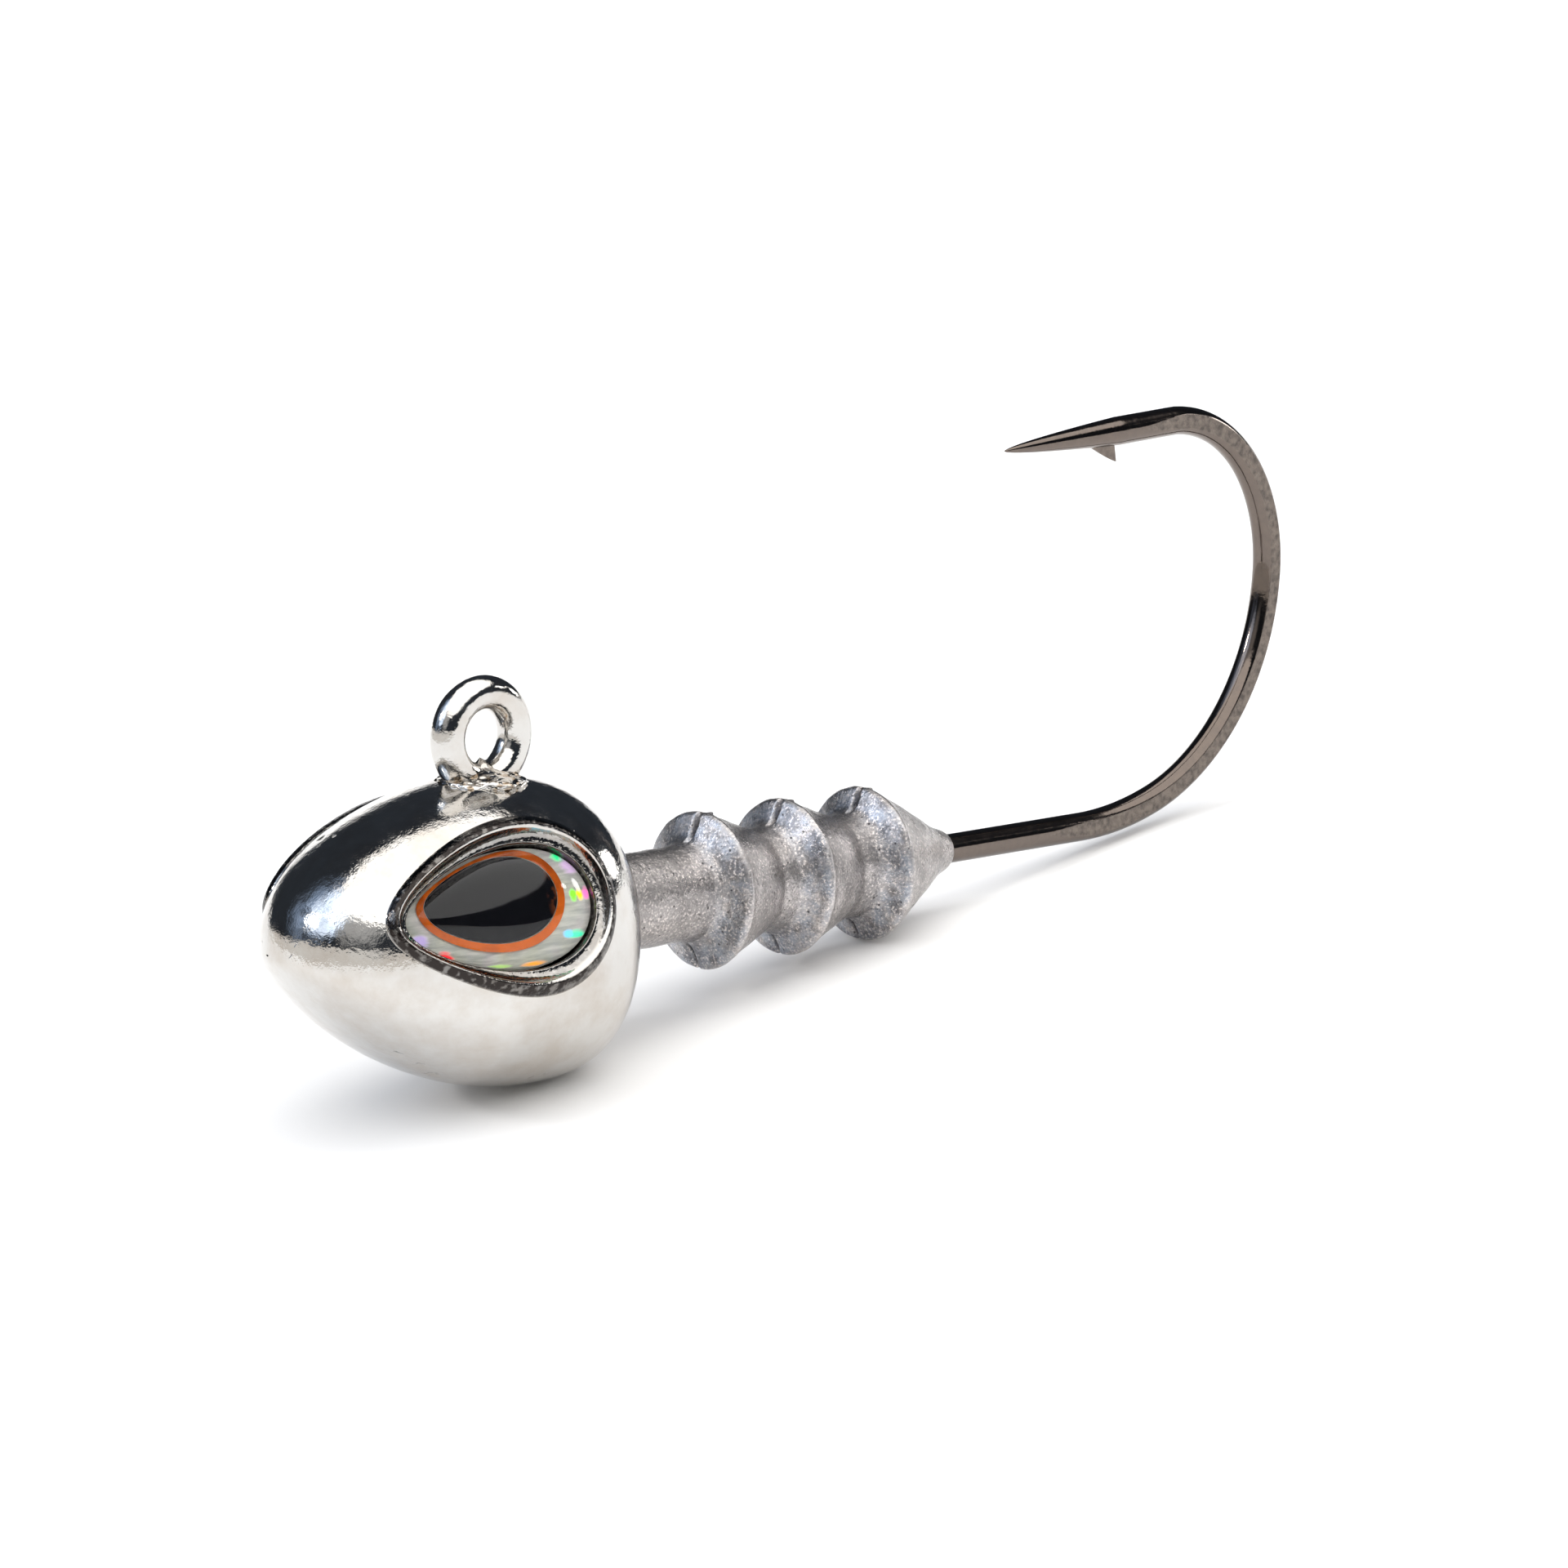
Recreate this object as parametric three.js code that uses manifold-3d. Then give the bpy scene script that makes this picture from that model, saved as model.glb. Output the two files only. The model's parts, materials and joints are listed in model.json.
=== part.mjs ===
// Bullet-shaped jig head for soft lures: a plated lead head with a line eye on its back, a glued domed
// eye on each cheek, a bare lead collar with three bait-keeper barbs, and a forged hook whose point
// rides up. Millimetres, +Z up, +X towards the bend of the hook, nose towards -X.
//
// Everything is drawn in the shank frame: X runs along the hook's shank, x = 0 is the flat back face of
// the head and z = 0 is the middle of the shank. The last group lays the whole jig down on its belly
// and its rear barb, as it rests on a table.
import * as THREE from "three";
import { mergeVertices } from "three/addons/utils/BufferGeometryUtils.js";
import Module from "manifold-3d";

const wasm = await Module();
wasm.setup();

// Fit
const FIT_GAP = 0.03; // room left between two pieces that touch
const REST_TILT = THREE.MathUtils.degToRad(9.1); // how far the tail drops when the jig is laid down

// Lead head: a bullet with rounded shoulders. Each outline has its widest station, its reach from the
// nose axis there, how blunt the nose end is, how square the shoulder is, and the share of the reach
// that is left at the back face.
const HEAD_LENGTH = 13.7;
const NOSE_HEIGHT = -0.15;
const CROWN = { x: -5.9, reach: 5.58, swell: 1.35, blunt: 2.3, shoulder: 3.4, left: 0.42 };
const BELLY = { x: -3.7, reach: 5.67, swell: 2.0, blunt: 1.22, shoulder: 2.8, left: 0.74 };
const CHEEK = { x: -6.5, reach: 5.5, swell: 2.0, blunt: 2.0, shoulder: 3.3, left: 0.45 };
const SECTION_SQUARENESS = 2.12;
const BULLET_STATIONS = 26;
const BULLET_SEGMENTS = 44;
const GATE = { x: -8.9, length: 2.0, width: 1.3, depth: 0.12 }; // flat left where the pouring gate broke off
const MOUND = { long: 1.5, wide: 1.45, high: 0.85, sink: 0.15 }; // lead crept up the foot of the line eye

// Hook wire
const WIRE_R = 0.575;
const WIRE_SIDES = 10;
const WIRE_STEPS = 72;
const NECK_BEND_R = 1.6;
const SHANK_END = 26.6;
// Bend of the hook: radius and sweep in degrees of each arc, from the shank round to the point.
const BEND_ARCS = [
  [14.4, 16.5],
  [9.7, 70.5],
  [6.6, 33.5],
  [5.8, 59.5],
];
const SPEAR_DROP = THREE.MathUtils.degToRad(3.4); // the point dips a little towards the shank
const SPEAR_LEAD = 3.4; // straight wire between the bend and the ground point
const POINT_LENGTH = 6.4;
const POINT_OGIVE = 0.6;
const POINT_RINGS = 10;
const POINT_OVERLAP = 0.2; // the point's blank starts this far inside the wire, a touch under its radius
const POINT_TUCK = 0.98;
const BARB = { behindTip: 5.1, length: 1.35, height: 0.6, lean: 0.3, thickness: 0.34, root: 0.5 };
const FORGED_HALF_WIDTH = 0.49; // the bend is pressed flat on both sides
const FORGED_FROM_X = 27.2;
const FORGED_RAMP = 1.4;
const PRESS = { length: 20, height: 40, deep: 2, below: 10 }; // block that takes away what the press flattens

// Line eye
const RING = { x: -4.78, z: 6.93, radius: 1.57, wire: 0.634 };
const NECK_FOOT_Z = 3.4; // where the plated eye ends and the bare wire goes on, inside the lead
const NECK_ROOM = 0.3; // room under the foot of the eye, inside the lead
const RING_SEGMENTS = { around: 36, wire: 16 };

// Bait-keeper collar
const COLLAR_SEAT = { depth: 0.3, radius: 1.86 }; // round step in the back face that the collar stands in
const COLLAR_R = 1.8;
const COLLAR_FLATTEN = 0.95; // the collar is a touch narrower than it is tall
const BARB_X = 5.95;
const BARB_PITCH = 4.21;
const BARBS = 3;
const BARB_R = 3.0;
const BARB_ROOT_R = 1.95;
const BARB_FACE = 0.55; // how far the front face leans back from root to crest
const BARB_HOLLOW = 0.35; // the front face curves in: this share of its rise over this share of its lean
const BARB_EDGE = 0.22; // the crest is a narrow rounded land
const CREST_DROP = { front: 0.07, back: 0.04 };
const COLLAR_SEGMENTS = 36;
const TAIL_X = 19.3;
const TAIL_R = 0.74;
const SEAM = { width: 0.22, reach: 0.5, over: 0.1 }; // open mould seam in the front face of each barb

// Domed eyes, drawn flat: an egg whose narrow end points to the nose
const EYE_CENTRE = new THREE.Vector3(-7.35, -4.02, 1.5);
const EYE_YAW = THREE.MathUtils.degToRad(11);
const EYE_PITCH = THREE.MathUtils.degToRad(21);
const EYE_ROLL = THREE.MathUtils.degToRad(3);
const EGG_TAPER = 0.22;
const EGG_SEGMENTS = 36;
const EDGE_STEPS = 4;
const DOME_RINGS = 6;
const RIM = { long: 4.6, wide: 3.12, top: 0.62, round: 0.42 };
const SOCKET = { long: 3.86, wide: 2.27, floor: -0.6 };
const DOME = { long: 3.72, wide: 2.12, edge: 0.6, crown: 1.4 };
const IRIS = { long: 3.02, wide: 1.62 };
const PUPIL = { long: 2.62, wide: 1.3 };
const PAD_THICK = 0.1;
const FILM_THICK = 0.1;
const INK_THICK = 0.05;

const CHROME = () => new THREE.MeshStandardMaterial({ color: 0xc9c6c2, roughness: 0.12, metalness: 1 });
const BARE_LEAD = () => new THREE.MeshStandardMaterial({ color: 0x8d8a88, roughness: 0.5, metalness: 0.9 });
const BLACK_NICKEL = () => new THREE.MeshStandardMaterial({ color: 0x6a605a, roughness: 0.22, metalness: 1 });
const HOLO_FILM = () => new THREE.MeshStandardMaterial({ color: 0xa9a49a, roughness: 0.3, metalness: 0.8 });
const ORANGE_INK = () => new THREE.MeshStandardMaterial({ color: 0xc4501a, roughness: 0.4, metalness: 0.3 });
const BLACK_INK = () => new THREE.MeshStandardMaterial({ color: 0x0c0c0d, roughness: 0.4, metalness: 0 });
const FOAM_TAPE = () => new THREE.MeshStandardMaterial({ color: 0xe6e2d8, roughness: 0.9, metalness: 0 });
const RESIN = { color: 0xffffff, roughness: 0.05, metalness: 0, transparent: true, opacity: 0.3 };
const CLEAR_RESIN = () => new THREE.MeshStandardMaterial(RESIN);

// A closed geometry as a solid that can be joined and cut.
function solid(geometry, matrix = new THREE.Matrix4()) {
  const bare = geometry.clone().applyMatrix4(matrix);
  bare.deleteAttribute("normal");
  bare.deleteAttribute("uv");
  const merged = mergeVertices(bare, 1e-4);
  const vertProperties = new Float32Array(merged.attributes.position.array);
  const triVerts = new Uint32Array(merged.index.array);
  const body = new wasm.Manifold(new wasm.Mesh({ numProp: 3, vertProperties, triVerts }));
  if (body.volume() <= 0) throw new Error("a blank is inside out");
  return body;
}

// A solid as a geometry again.
function geometryOf(body) {
  const { vertProperties, triVerts } = body.getMesh();
  const geometry = new THREE.BufferGeometry();
  geometry.setAttribute("position", new THREE.BufferAttribute(new Float32Array(vertProperties), 3));
  geometry.setIndex(new THREE.BufferAttribute(new Uint32Array(triVerts), 1));
  geometry.computeVertexNormals();
  return geometry;
}

const at = (x, y, z) => new THREE.Matrix4().makeTranslation(x, y, z);

// A profile of [x, radius] stations turned about the X axis.
function turned(profile, segments) {
  const points = profile.map(([x, r]) => new THREE.Vector2(r, x));
  return new THREE.LatheGeometry(points, segments).rotateZ(-Math.PI / 2);
}

// ---- lead head ----

// Share of an outline's full reach at station x: a superellipse to the nose and another to the back.
function swell(line, x) {
  if (x <= line.x) {
    const u = (line.x - x) / (line.x + HEAD_LENGTH);
    return Math.pow(Math.max(1 - Math.pow(u, line.swell), 0), 1 / line.blunt);
  }
  const k = line.shoulder;
  const run = -line.x / Math.pow(1 - Math.pow(line.left, k), 1 / k);
  return Math.pow(1 - Math.pow((x - line.x) / run, k), 1 / k);
}

// The bullet: a turned blank whose unit circles are pulled out to the crown, belly and cheek outlines.
function bullet() {
  const profile = [[-HEAD_LENGTH, 0]];
  for (let i = 1; i <= BULLET_STATIONS; i++) {
    profile.push([(-HEAD_LENGTH / 2) * (1 + Math.cos((Math.PI * i) / BULLET_STATIONS)), 1]);
  }
  profile.push([0, 0]);
  const shape = turned(profile, BULLET_SEGMENTS);
  const place = shape.attributes.position;
  const square = (v) => Math.sign(v) * Math.pow(Math.abs(v), 2 / SECTION_SQUARENESS);
  for (let i = 0; i < place.count; i++) {
    const x = place.getX(i);
    const y = square(place.getY(i));
    const z = square(place.getZ(i));
    const reach = z > 0 ? CROWN.reach * swell(CROWN, x) : BELLY.reach * swell(BELLY, x);
    place.setXYZ(i, x, y * CHEEK.reach * swell(CHEEK, x), NOSE_HEIGHT + z * reach);
  }
  return solid(shape);
}

// Lead that crept up round the foot of the line eye.
function mound() {
  const crown = NOSE_HEIGHT + CROWN.reach * swell(CROWN, RING.x);
  const shape = new THREE.SphereGeometry(1, 24, 16).rotateX(Math.PI / 2);
  shape.scale(MOUND.long, MOUND.wide, MOUND.high);
  return solid(shape, at(RING.x, 0, crown - MOUND.sink));
}

// What is missing under the belly where the pouring gate broke off.
function gateScar() {
  const bottom = (x) => NOSE_HEIGHT - BELLY.reach * swell(BELLY, x);
  const run = GATE.length / 2;
  const slope = Math.atan2(bottom(GATE.x - run) - bottom(GATE.x + run), GATE.length);
  const shape = new THREE.BoxGeometry(GATE.length, GATE.width, 2).translate(0, 0, GATE.depth - 1);
  return solid(shape.rotateY(slope), at(GATE.x, 0, bottom(GATE.x)));
}

// Round step in the back face that the collar stands in.
function collarSeat() {
  const { depth, radius } = COLLAR_SEAT;
  const shape = new THREE.CylinderGeometry(radius, radius, 2 * depth, COLLAR_SEGMENTS);
  return solid(shape.rotateZ(-Math.PI / 2));
}

function head() {
  let body = bullet().add(mound());
  for (const side of [-1, 1]) {
    const rim = eggPrism(RIM, SOCKET.floor - 1, RIM.top, RIM.round, side);
    const pocket = eggPrism(SOCKET, SOCKET.floor, RIM.top + 2, 0, side);
    body = body.add(rim).subtract(pocket);
  }
  body = body.subtract(gateScar()).subtract(collarSeat());
  return body.subtract(eyeWire(FIT_GAP)).subtract(hookSweep(FIT_GAP));
}

// ---- hook ----

// Corners where the arcs of the bend start, and the heading there.
function bendArcs() {
  const arcs = [];
  let x = SHANK_END;
  let z = 0;
  let heading = 0;
  for (const [radius, degrees] of BEND_ARCS) {
    const sweep = THREE.MathUtils.degToRad(degrees);
    const cx = x - radius * Math.sin(heading);
    const cz = z + radius * Math.cos(heading);
    arcs.push({ cx, cz, radius, heading, sweep });
    heading += sweep;
    x = cx + radius * Math.sin(heading);
    z = cz - radius * Math.cos(heading);
  }
  return { arcs, x, z };
}

class BendArc extends THREE.Curve {
  constructor(arc) {
    super();
    this.arc = arc;
  }
  getPoint(t, target = new THREE.Vector3()) {
    const { cx, cz, radius, heading, sweep } = this.arc;
    const a = heading + sweep * t;
    return target.set(cx + radius * Math.sin(a), 0, cz - radius * Math.cos(a));
  }
}

// Where the ground point starts, where its tip is, and the direction between them.
function spear() {
  const { x, z } = bendArcs();
  const along = new THREE.Vector3(-Math.cos(SPEAR_DROP), 0, -Math.sin(SPEAR_DROP));
  const start = new THREE.Vector3(x, 0, z).addScaledVector(along, SPEAR_LEAD);
  const tip = start.clone().addScaledVector(along, POINT_LENGTH);
  return { start, tip, along };
}

// Middle line of the wire, from inside the head under the line eye to the start of the ground point.
function wirePath() {
  const path = new THREE.CurvePath();
  const top = new THREE.Vector3(RING.x, 0, NECK_FOOT_Z - FIT_GAP);
  const bendTop = new THREE.Vector3(RING.x, 0, NECK_BEND_R);
  const neck = {
    cx: RING.x + NECK_BEND_R,
    cz: NECK_BEND_R,
    radius: NECK_BEND_R,
    heading: -Math.PI / 2,
    sweep: Math.PI / 2,
  };
  const neckEnd = new THREE.Vector3(RING.x + NECK_BEND_R, 0, 0);
  const shankEnd = new THREE.Vector3(SHANK_END, 0, 0);
  const { arcs, x, z } = bendArcs();
  path.add(new THREE.LineCurve3(top, bendTop));
  path.add(new BendArc(neck));
  path.add(new THREE.LineCurve3(neckEnd, shankEnd));
  for (const arc of arcs) path.add(new BendArc(arc));
  path.add(new THREE.LineCurve3(new THREE.Vector3(x, 0, z), spear().start));
  return path;
}

function hookSweep(grow = 0) {
  const section = new THREE.Shape();
  const corners = [];
  for (let i = 0; i < WIRE_SIDES; i++) {
    const a = ((i + 0.5) / WIRE_SIDES) * 2 * Math.PI;
    corners.push(new THREE.Vector2(Math.cos(a), Math.sin(a)).multiplyScalar(WIRE_R + grow));
  }
  section.setFromPoints(corners);
  const shape = new THREE.ExtrudeGeometry(section, { steps: WIRE_STEPS, extrudePath: wirePath() });
  return solid(shape);
}

// What the press takes off one side of the bend, with a ramp where the flat runs out into the shank.
function pressBlock() {
  const press = new THREE.Shape();
  press.moveTo(FORGED_FROM_X - FORGED_RAMP, PRESS.deep);
  press.lineTo(FORGED_FROM_X - FORGED_RAMP, WIRE_R);
  press.lineTo(FORGED_FROM_X, FORGED_HALF_WIDTH);
  press.lineTo(FORGED_FROM_X + PRESS.length, FORGED_HALF_WIDTH);
  press.lineTo(FORGED_FROM_X + PRESS.length, PRESS.deep);
  const shape = new THREE.ExtrudeGeometry(press, { depth: PRESS.height, bevelEnabled: false });
  return shape.translate(0, 0, -PRESS.below);
}

// Ground point, from the tip back to the wire, where it starts a little way inside.
function groundPoint(start) {
  const profile = [[-POINT_LENGTH, 0]];
  for (let i = 1; i <= POINT_RINGS; i++) {
    const share = i / POINT_RINGS;
    profile.push([-POINT_LENGTH * (1 - share), WIRE_R * Math.pow(share, POINT_OGIVE)]);
  }
  profile.push([POINT_OVERLAP, WIRE_R * POINT_TUCK]);
  profile.push([POINT_OVERLAP, 0]);
  const shape = turned(profile, WIRE_SIDES * 2).rotateY(-SPEAR_DROP);
  return solid(shape, at(start.x, 0, start.z));
}

// Barb, cut up from the inner side of the point.
function hookBarb(tip, along) {
  const place = tip.clone().addScaledVector(along, -BARB.behindTip);
  const wedge = new THREE.Shape();
  wedge.moveTo(0, -WIRE_R * BARB.root);
  wedge.lineTo(BARB.length + BARB.lean, -WIRE_R - BARB.height);
  wedge.lineTo(BARB.length, -WIRE_R * BARB.root);
  const shape = new THREE.ExtrudeGeometry(wedge, { depth: BARB.thickness, bevelEnabled: false });
  shape.translate(0, 0, -BARB.thickness / 2).rotateX(Math.PI / 2).rotateY(-SPEAR_DROP);
  return solid(shape, at(place.x, 0, place.z));
}

function hook() {
  const { start, tip, along } = spear();
  const farBlock = pressBlock().rotateX(Math.PI).translate(0, 0, PRESS.length);
  const body = hookSweep().subtract(solid(pressBlock())).subtract(solid(farBlock));
  return body.add(groundPoint(start)).add(hookBarb(tip, along));
}

// ---- line eye ----

function eyeWire(grow = 0) {
  const wire = RING.wire + grow;
  const { around, wire: sides } = RING_SEGMENTS;
  const neckTop = RING.z - RING.radius;
  const foot = NECK_FOOT_Z - (grow ? NECK_ROOM : 0);
  const loop = new THREE.TorusGeometry(RING.radius, wire, sides, around).rotateX(Math.PI / 2);
  const neck = new THREE.CylinderGeometry(wire, wire, neckTop - foot, sides).rotateX(Math.PI / 2);
  return solid(loop, at(RING.x, 0, RING.z)).add(solid(neck, at(RING.x, 0, (neckTop + foot) / 2)));
}

// ---- bait-keeper collar ----

function collar() {
  const bore = WIRE_R + FIT_GAP;
  const foot = FIT_GAP - COLLAR_SEAT.depth;
  const profile = [
    [foot, bore],
    [foot, COLLAR_R],
  ];
  for (let i = 0; i < BARBS; i++) {
    const x = BARB_X + i * BARB_PITCH;
    profile.push([x - BARB_FACE, i ? BARB_ROOT_R : COLLAR_R]);
    profile.push([x - BARB_FACE * BARB_HOLLOW, BARB_ROOT_R + (BARB_R - BARB_ROOT_R) * BARB_HOLLOW]);
    profile.push([x, BARB_R - CREST_DROP.front]);
    profile.push([x + BARB_EDGE / 2, BARB_R]);
    profile.push([x + BARB_EDGE, BARB_R - CREST_DROP.back]);
  }
  profile.push([TAIL_X, TAIL_R]);
  profile.push([TAIL_X, bore]);
  profile.push([foot, bore]);
  const shape = turned(profile, COLLAR_SEGMENTS);
  shape.scale(1, COLLAR_FLATTEN, 1);
  let body = solid(shape);
  const notch = new THREE.Shape();
  notch.moveTo(0, BARB_ROOT_R);
  notch.lineTo(SEAM.width / 2, BARB_R + SEAM.over);
  notch.lineTo(-SEAM.width / 2, BARB_R + SEAM.over);
  for (let i = 0; i < BARBS; i++) {
    const x = BARB_X + i * BARB_PITCH - BARB_FACE;
    for (const turn of [0, Math.PI]) {
      const depth = BARB_FACE + SEAM.reach;
      const cut = new THREE.ExtrudeGeometry(notch, { depth, bevelEnabled: false });
      cut.rotateZ(-Math.PI / 2).rotateY(Math.PI / 2).rotateX(turn);
      body = body.subtract(solid(cut, at(x, 0, 0)));
    }
  }
  return body;
}

// ---- domed eyes ----

// Frame of one eye: local x towards the tail (left side) or the nose (right side), local z outwards.
function eyeFrame(side) {
  const back = new THREE.Vector3(Math.cos(EYE_YAW), side * Math.sin(EYE_YAW), 0);
  const out = new THREE.Vector3(-Math.sin(EYE_YAW), side * Math.cos(EYE_YAW), 0);
  out.multiplyScalar(Math.cos(EYE_PITCH)).add(new THREE.Vector3(0, 0, Math.sin(EYE_PITCH)));
  const along = back.multiplyScalar(-side);
  const up = out.clone().cross(along);
  const frame = new THREE.Matrix4().makeBasis(along, up, out);
  frame.setPosition(EYE_CENTRE.x, -side * EYE_CENTRE.y, EYE_CENTRE.z);
  return frame.multiply(new THREE.Matrix4().makeRotationZ(-side * EYE_ROLL));
}

// Unit circle pulled out to the egg outline of the given size.
function eggPoint(size, side, x, y) {
  const back = -side * x;
  return [size.long * x, size.wide * y * (1 + EGG_TAPER * back)];
}

// A turned blank of [height, share of the outline] stations, pulled out to the egg outline.
function eggSolid(size, profile, side) {
  const points = profile.map(([h, share]) => new THREE.Vector2(share, h));
  const shape = new THREE.LatheGeometry(points, EGG_SEGMENTS).rotateX(Math.PI / 2);
  const place = shape.attributes.position;
  for (let i = 0; i < place.count; i++) {
    const [x, y] = eggPoint(size, side, place.getX(i), place.getY(i));
    place.setXY(i, x, y);
  }
  return solid(shape, eyeFrame(side));
}

// A flat-topped egg between two heights, with its upper edge rounded or left sharp.
function eggPrism(size, low, high, round, side) {
  const profile = [
    [low, 0],
    [low, 1],
  ];
  const steps = round ? EDGE_STEPS : 0;
  for (let i = 0; i <= steps; i++) {
    const a = steps ? ((Math.PI / 2) * i) / steps : 0;
    profile.push([high - round * (1 - Math.sin(a)), 1 - (round / size.long) * (1 - Math.cos(a))]);
  }
  profile.push([high, 0]);
  return eggSolid(size, profile, side);
}

const padBase = SOCKET.floor + FIT_GAP;
const filmBase = padBase + PAD_THICK + FIT_GAP;
const inkBase = filmBase + FILM_THICK + FIT_GAP;
const domeBase = inkBase + INK_THICK + FIT_GAP;

const adhesivePad = (side) => eggPrism(DOME, padBase, padBase + PAD_THICK, 0, side);
const holoFilm = (side) => eggPrism(DOME, filmBase, filmBase + FILM_THICK, 0, side);
const pupilPrint = (side) => eggPrism(PUPIL, inkBase, inkBase + INK_THICK, 0, side);

function irisPrint(side) {
  const hole = { long: PUPIL.long + FIT_GAP, wide: PUPIL.wide + FIT_GAP };
  const disc = eggPrism(IRIS, inkBase, inkBase + INK_THICK, 0, side);
  return disc.subtract(eggPrism(hole, inkBase - 1, inkBase + 1, 0, side));
}

function resinDome(side) {
  const profile = [
    [domeBase, 0],
    [domeBase, 1],
  ];
  for (let i = 0; i < DOME_RINGS; i++) {
    const a = ((Math.PI / 2) * i) / DOME_RINGS;
    const height = DOME.edge + (DOME.crown - DOME.edge) * Math.sin(a);
    profile.push([domeBase + height, Math.cos(a)]);
  }
  profile.push([domeBase + DOME.crown, 0]);
  return eggSolid(DOME, profile, side);
}

// ---- assembly ----

function piece(name, body, material) {
  const mesh = new THREE.Mesh(geometryOf(body), material);
  mesh.name = name;
  return mesh;
}

const jig = new THREE.Group();
jig.add(piece("head_casting", head(), CHROME()));
jig.add(piece("bait_keeper_collar", collar(), BARE_LEAD()));
jig.add(piece("line_eye", eyeWire(), CHROME()));
jig.add(piece("hook", hook(), BLACK_NICKEL()));
const CHEEKS = { left: -1, right: 1 };
for (const [word, side] of Object.entries(CHEEKS)) {
  jig.add(piece("adhesive_pad_" + word, adhesivePad(side), FOAM_TAPE()));
  jig.add(piece("hologram_film_" + word, holoFilm(side), HOLO_FILM()));
  jig.add(piece("iris_print_" + word, irisPrint(side), ORANGE_INK()));
  jig.add(piece("pupil_print_" + word, pupilPrint(side), BLACK_INK()));
  jig.add(piece("resin_dome_" + word, resinDome(side), CLEAR_RESIN()));
}

// Laid down on the belly and the rear barb, with the middle of its outline over the origin.
jig.rotation.y = REST_TILT;
jig.updateMatrixWorld(true);
const reach = new THREE.Box3().setFromObject(jig, true);
jig.position.set(-(reach.min.x + reach.max.x) / 2, -(reach.min.y + reach.max.y) / 2, -reach.min.z);

const part = new THREE.Group();
part.add(jig);
export default part;
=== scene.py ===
"""Jig head workshop: builds the fine pieces of a plated lead jig head round its packed frame."""

import json
import math

import bpy
import numpy as np
from bpy.props import FloatProperty, FloatVectorProperty, IntProperty, PointerProperty
from mathutils import Matrix, Vector, noise


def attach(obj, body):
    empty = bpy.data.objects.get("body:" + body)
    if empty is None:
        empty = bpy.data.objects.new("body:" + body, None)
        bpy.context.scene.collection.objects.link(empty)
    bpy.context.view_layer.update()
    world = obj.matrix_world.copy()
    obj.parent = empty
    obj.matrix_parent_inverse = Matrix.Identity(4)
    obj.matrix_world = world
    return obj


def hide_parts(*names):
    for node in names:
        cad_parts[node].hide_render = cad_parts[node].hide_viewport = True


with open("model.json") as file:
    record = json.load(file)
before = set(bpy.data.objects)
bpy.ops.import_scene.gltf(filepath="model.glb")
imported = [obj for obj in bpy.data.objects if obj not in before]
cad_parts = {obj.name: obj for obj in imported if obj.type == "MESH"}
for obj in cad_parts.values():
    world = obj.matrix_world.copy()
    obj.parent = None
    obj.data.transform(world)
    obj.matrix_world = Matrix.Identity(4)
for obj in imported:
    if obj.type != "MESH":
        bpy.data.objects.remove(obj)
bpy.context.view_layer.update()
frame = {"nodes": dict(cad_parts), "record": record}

bl_info = {
    "name": "Jig Head Workshop",
    "version": (1, 0, 0),
    "blender": (4, 5, 0),
    "location": "3D View > Sidebar > Jig Head",
    "description": "Builds the casting, hook, collar and domed eyes of a jig head round its frame",
    "category": "Object",
}

MM = 0.001
CHEEKS = {"left": -1, "right": 1}

# The shank frame: X runs along the hook's shank, x = 0 is the flat back face of the head, and the
# shank is at z = 0. The frame's one mount is a point of that face, a known drop under the shank.
FACE = frame["record"]["mounts"][0]
FACE_DROP = 3.3 * MM
SHANK_X = Vector(FACE["axis"]).normalized()
SHANK_Y = Vector((0, 1, 0))
SHANK_Z = SHANK_X.cross(SHANK_Y)
SHANK_AT = Vector(FACE["pos_m"]) + SHANK_Z * FACE_DROP
SHANK = Matrix((SHANK_X, SHANK_Y, SHANK_Z)).transposed().to_4x4()
SHANK.translation = SHANK_AT


def length(name, millimetres, description):
    """A size that a user may change, in Blender's own length unit."""
    return FloatProperty(
        name=name, description=description, default=millimetres * MM, unit="LENGTH", precision=5
    )


def ratio(name, value, description):
    """A plain number that a user may change."""
    return FloatProperty(name=name, description=description, default=value, precision=3)


def turn(name, degrees, description):
    """An angle that a user may change."""
    return FloatProperty(
        name=name, description=description, default=math.radians(degrees), subtype="ANGLE"
    )


def colour(name, value, description):
    """A colour that a user may change."""
    return FloatVectorProperty(
        name=name, description=description, default=value, size=3, subtype="COLOR", min=0, max=1
    )


class JIG_PG_casting(bpy.types.PropertyGroup):
    """Sizes of the lead head."""

    nose: length("Length", 13.7, "From the nose to the flat back face")
    axis_z: length("Nose height", -0.15, "Height of the nose over the shank")
    crown: length("Top reach", 5.58, "From the nose axis up to the highest point")
    belly: length("Belly reach", 5.67, "From the nose axis down to the lowest point")
    cheek: length("Cheek reach", 5.5, "From the middle plane out to the widest point")
    squareness: ratio("Squareness", 2.12, "2 is an ellipse, more is squarer")
    segments: IntProperty(name="Segments", description="Points round the head", default=250)
    rings: IntProperty(name="Rings", description="Stations from nose to back", default=220)
    bead: length("Bead", 0.2, "How far the bead round each eye stands over the cheek")


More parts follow.
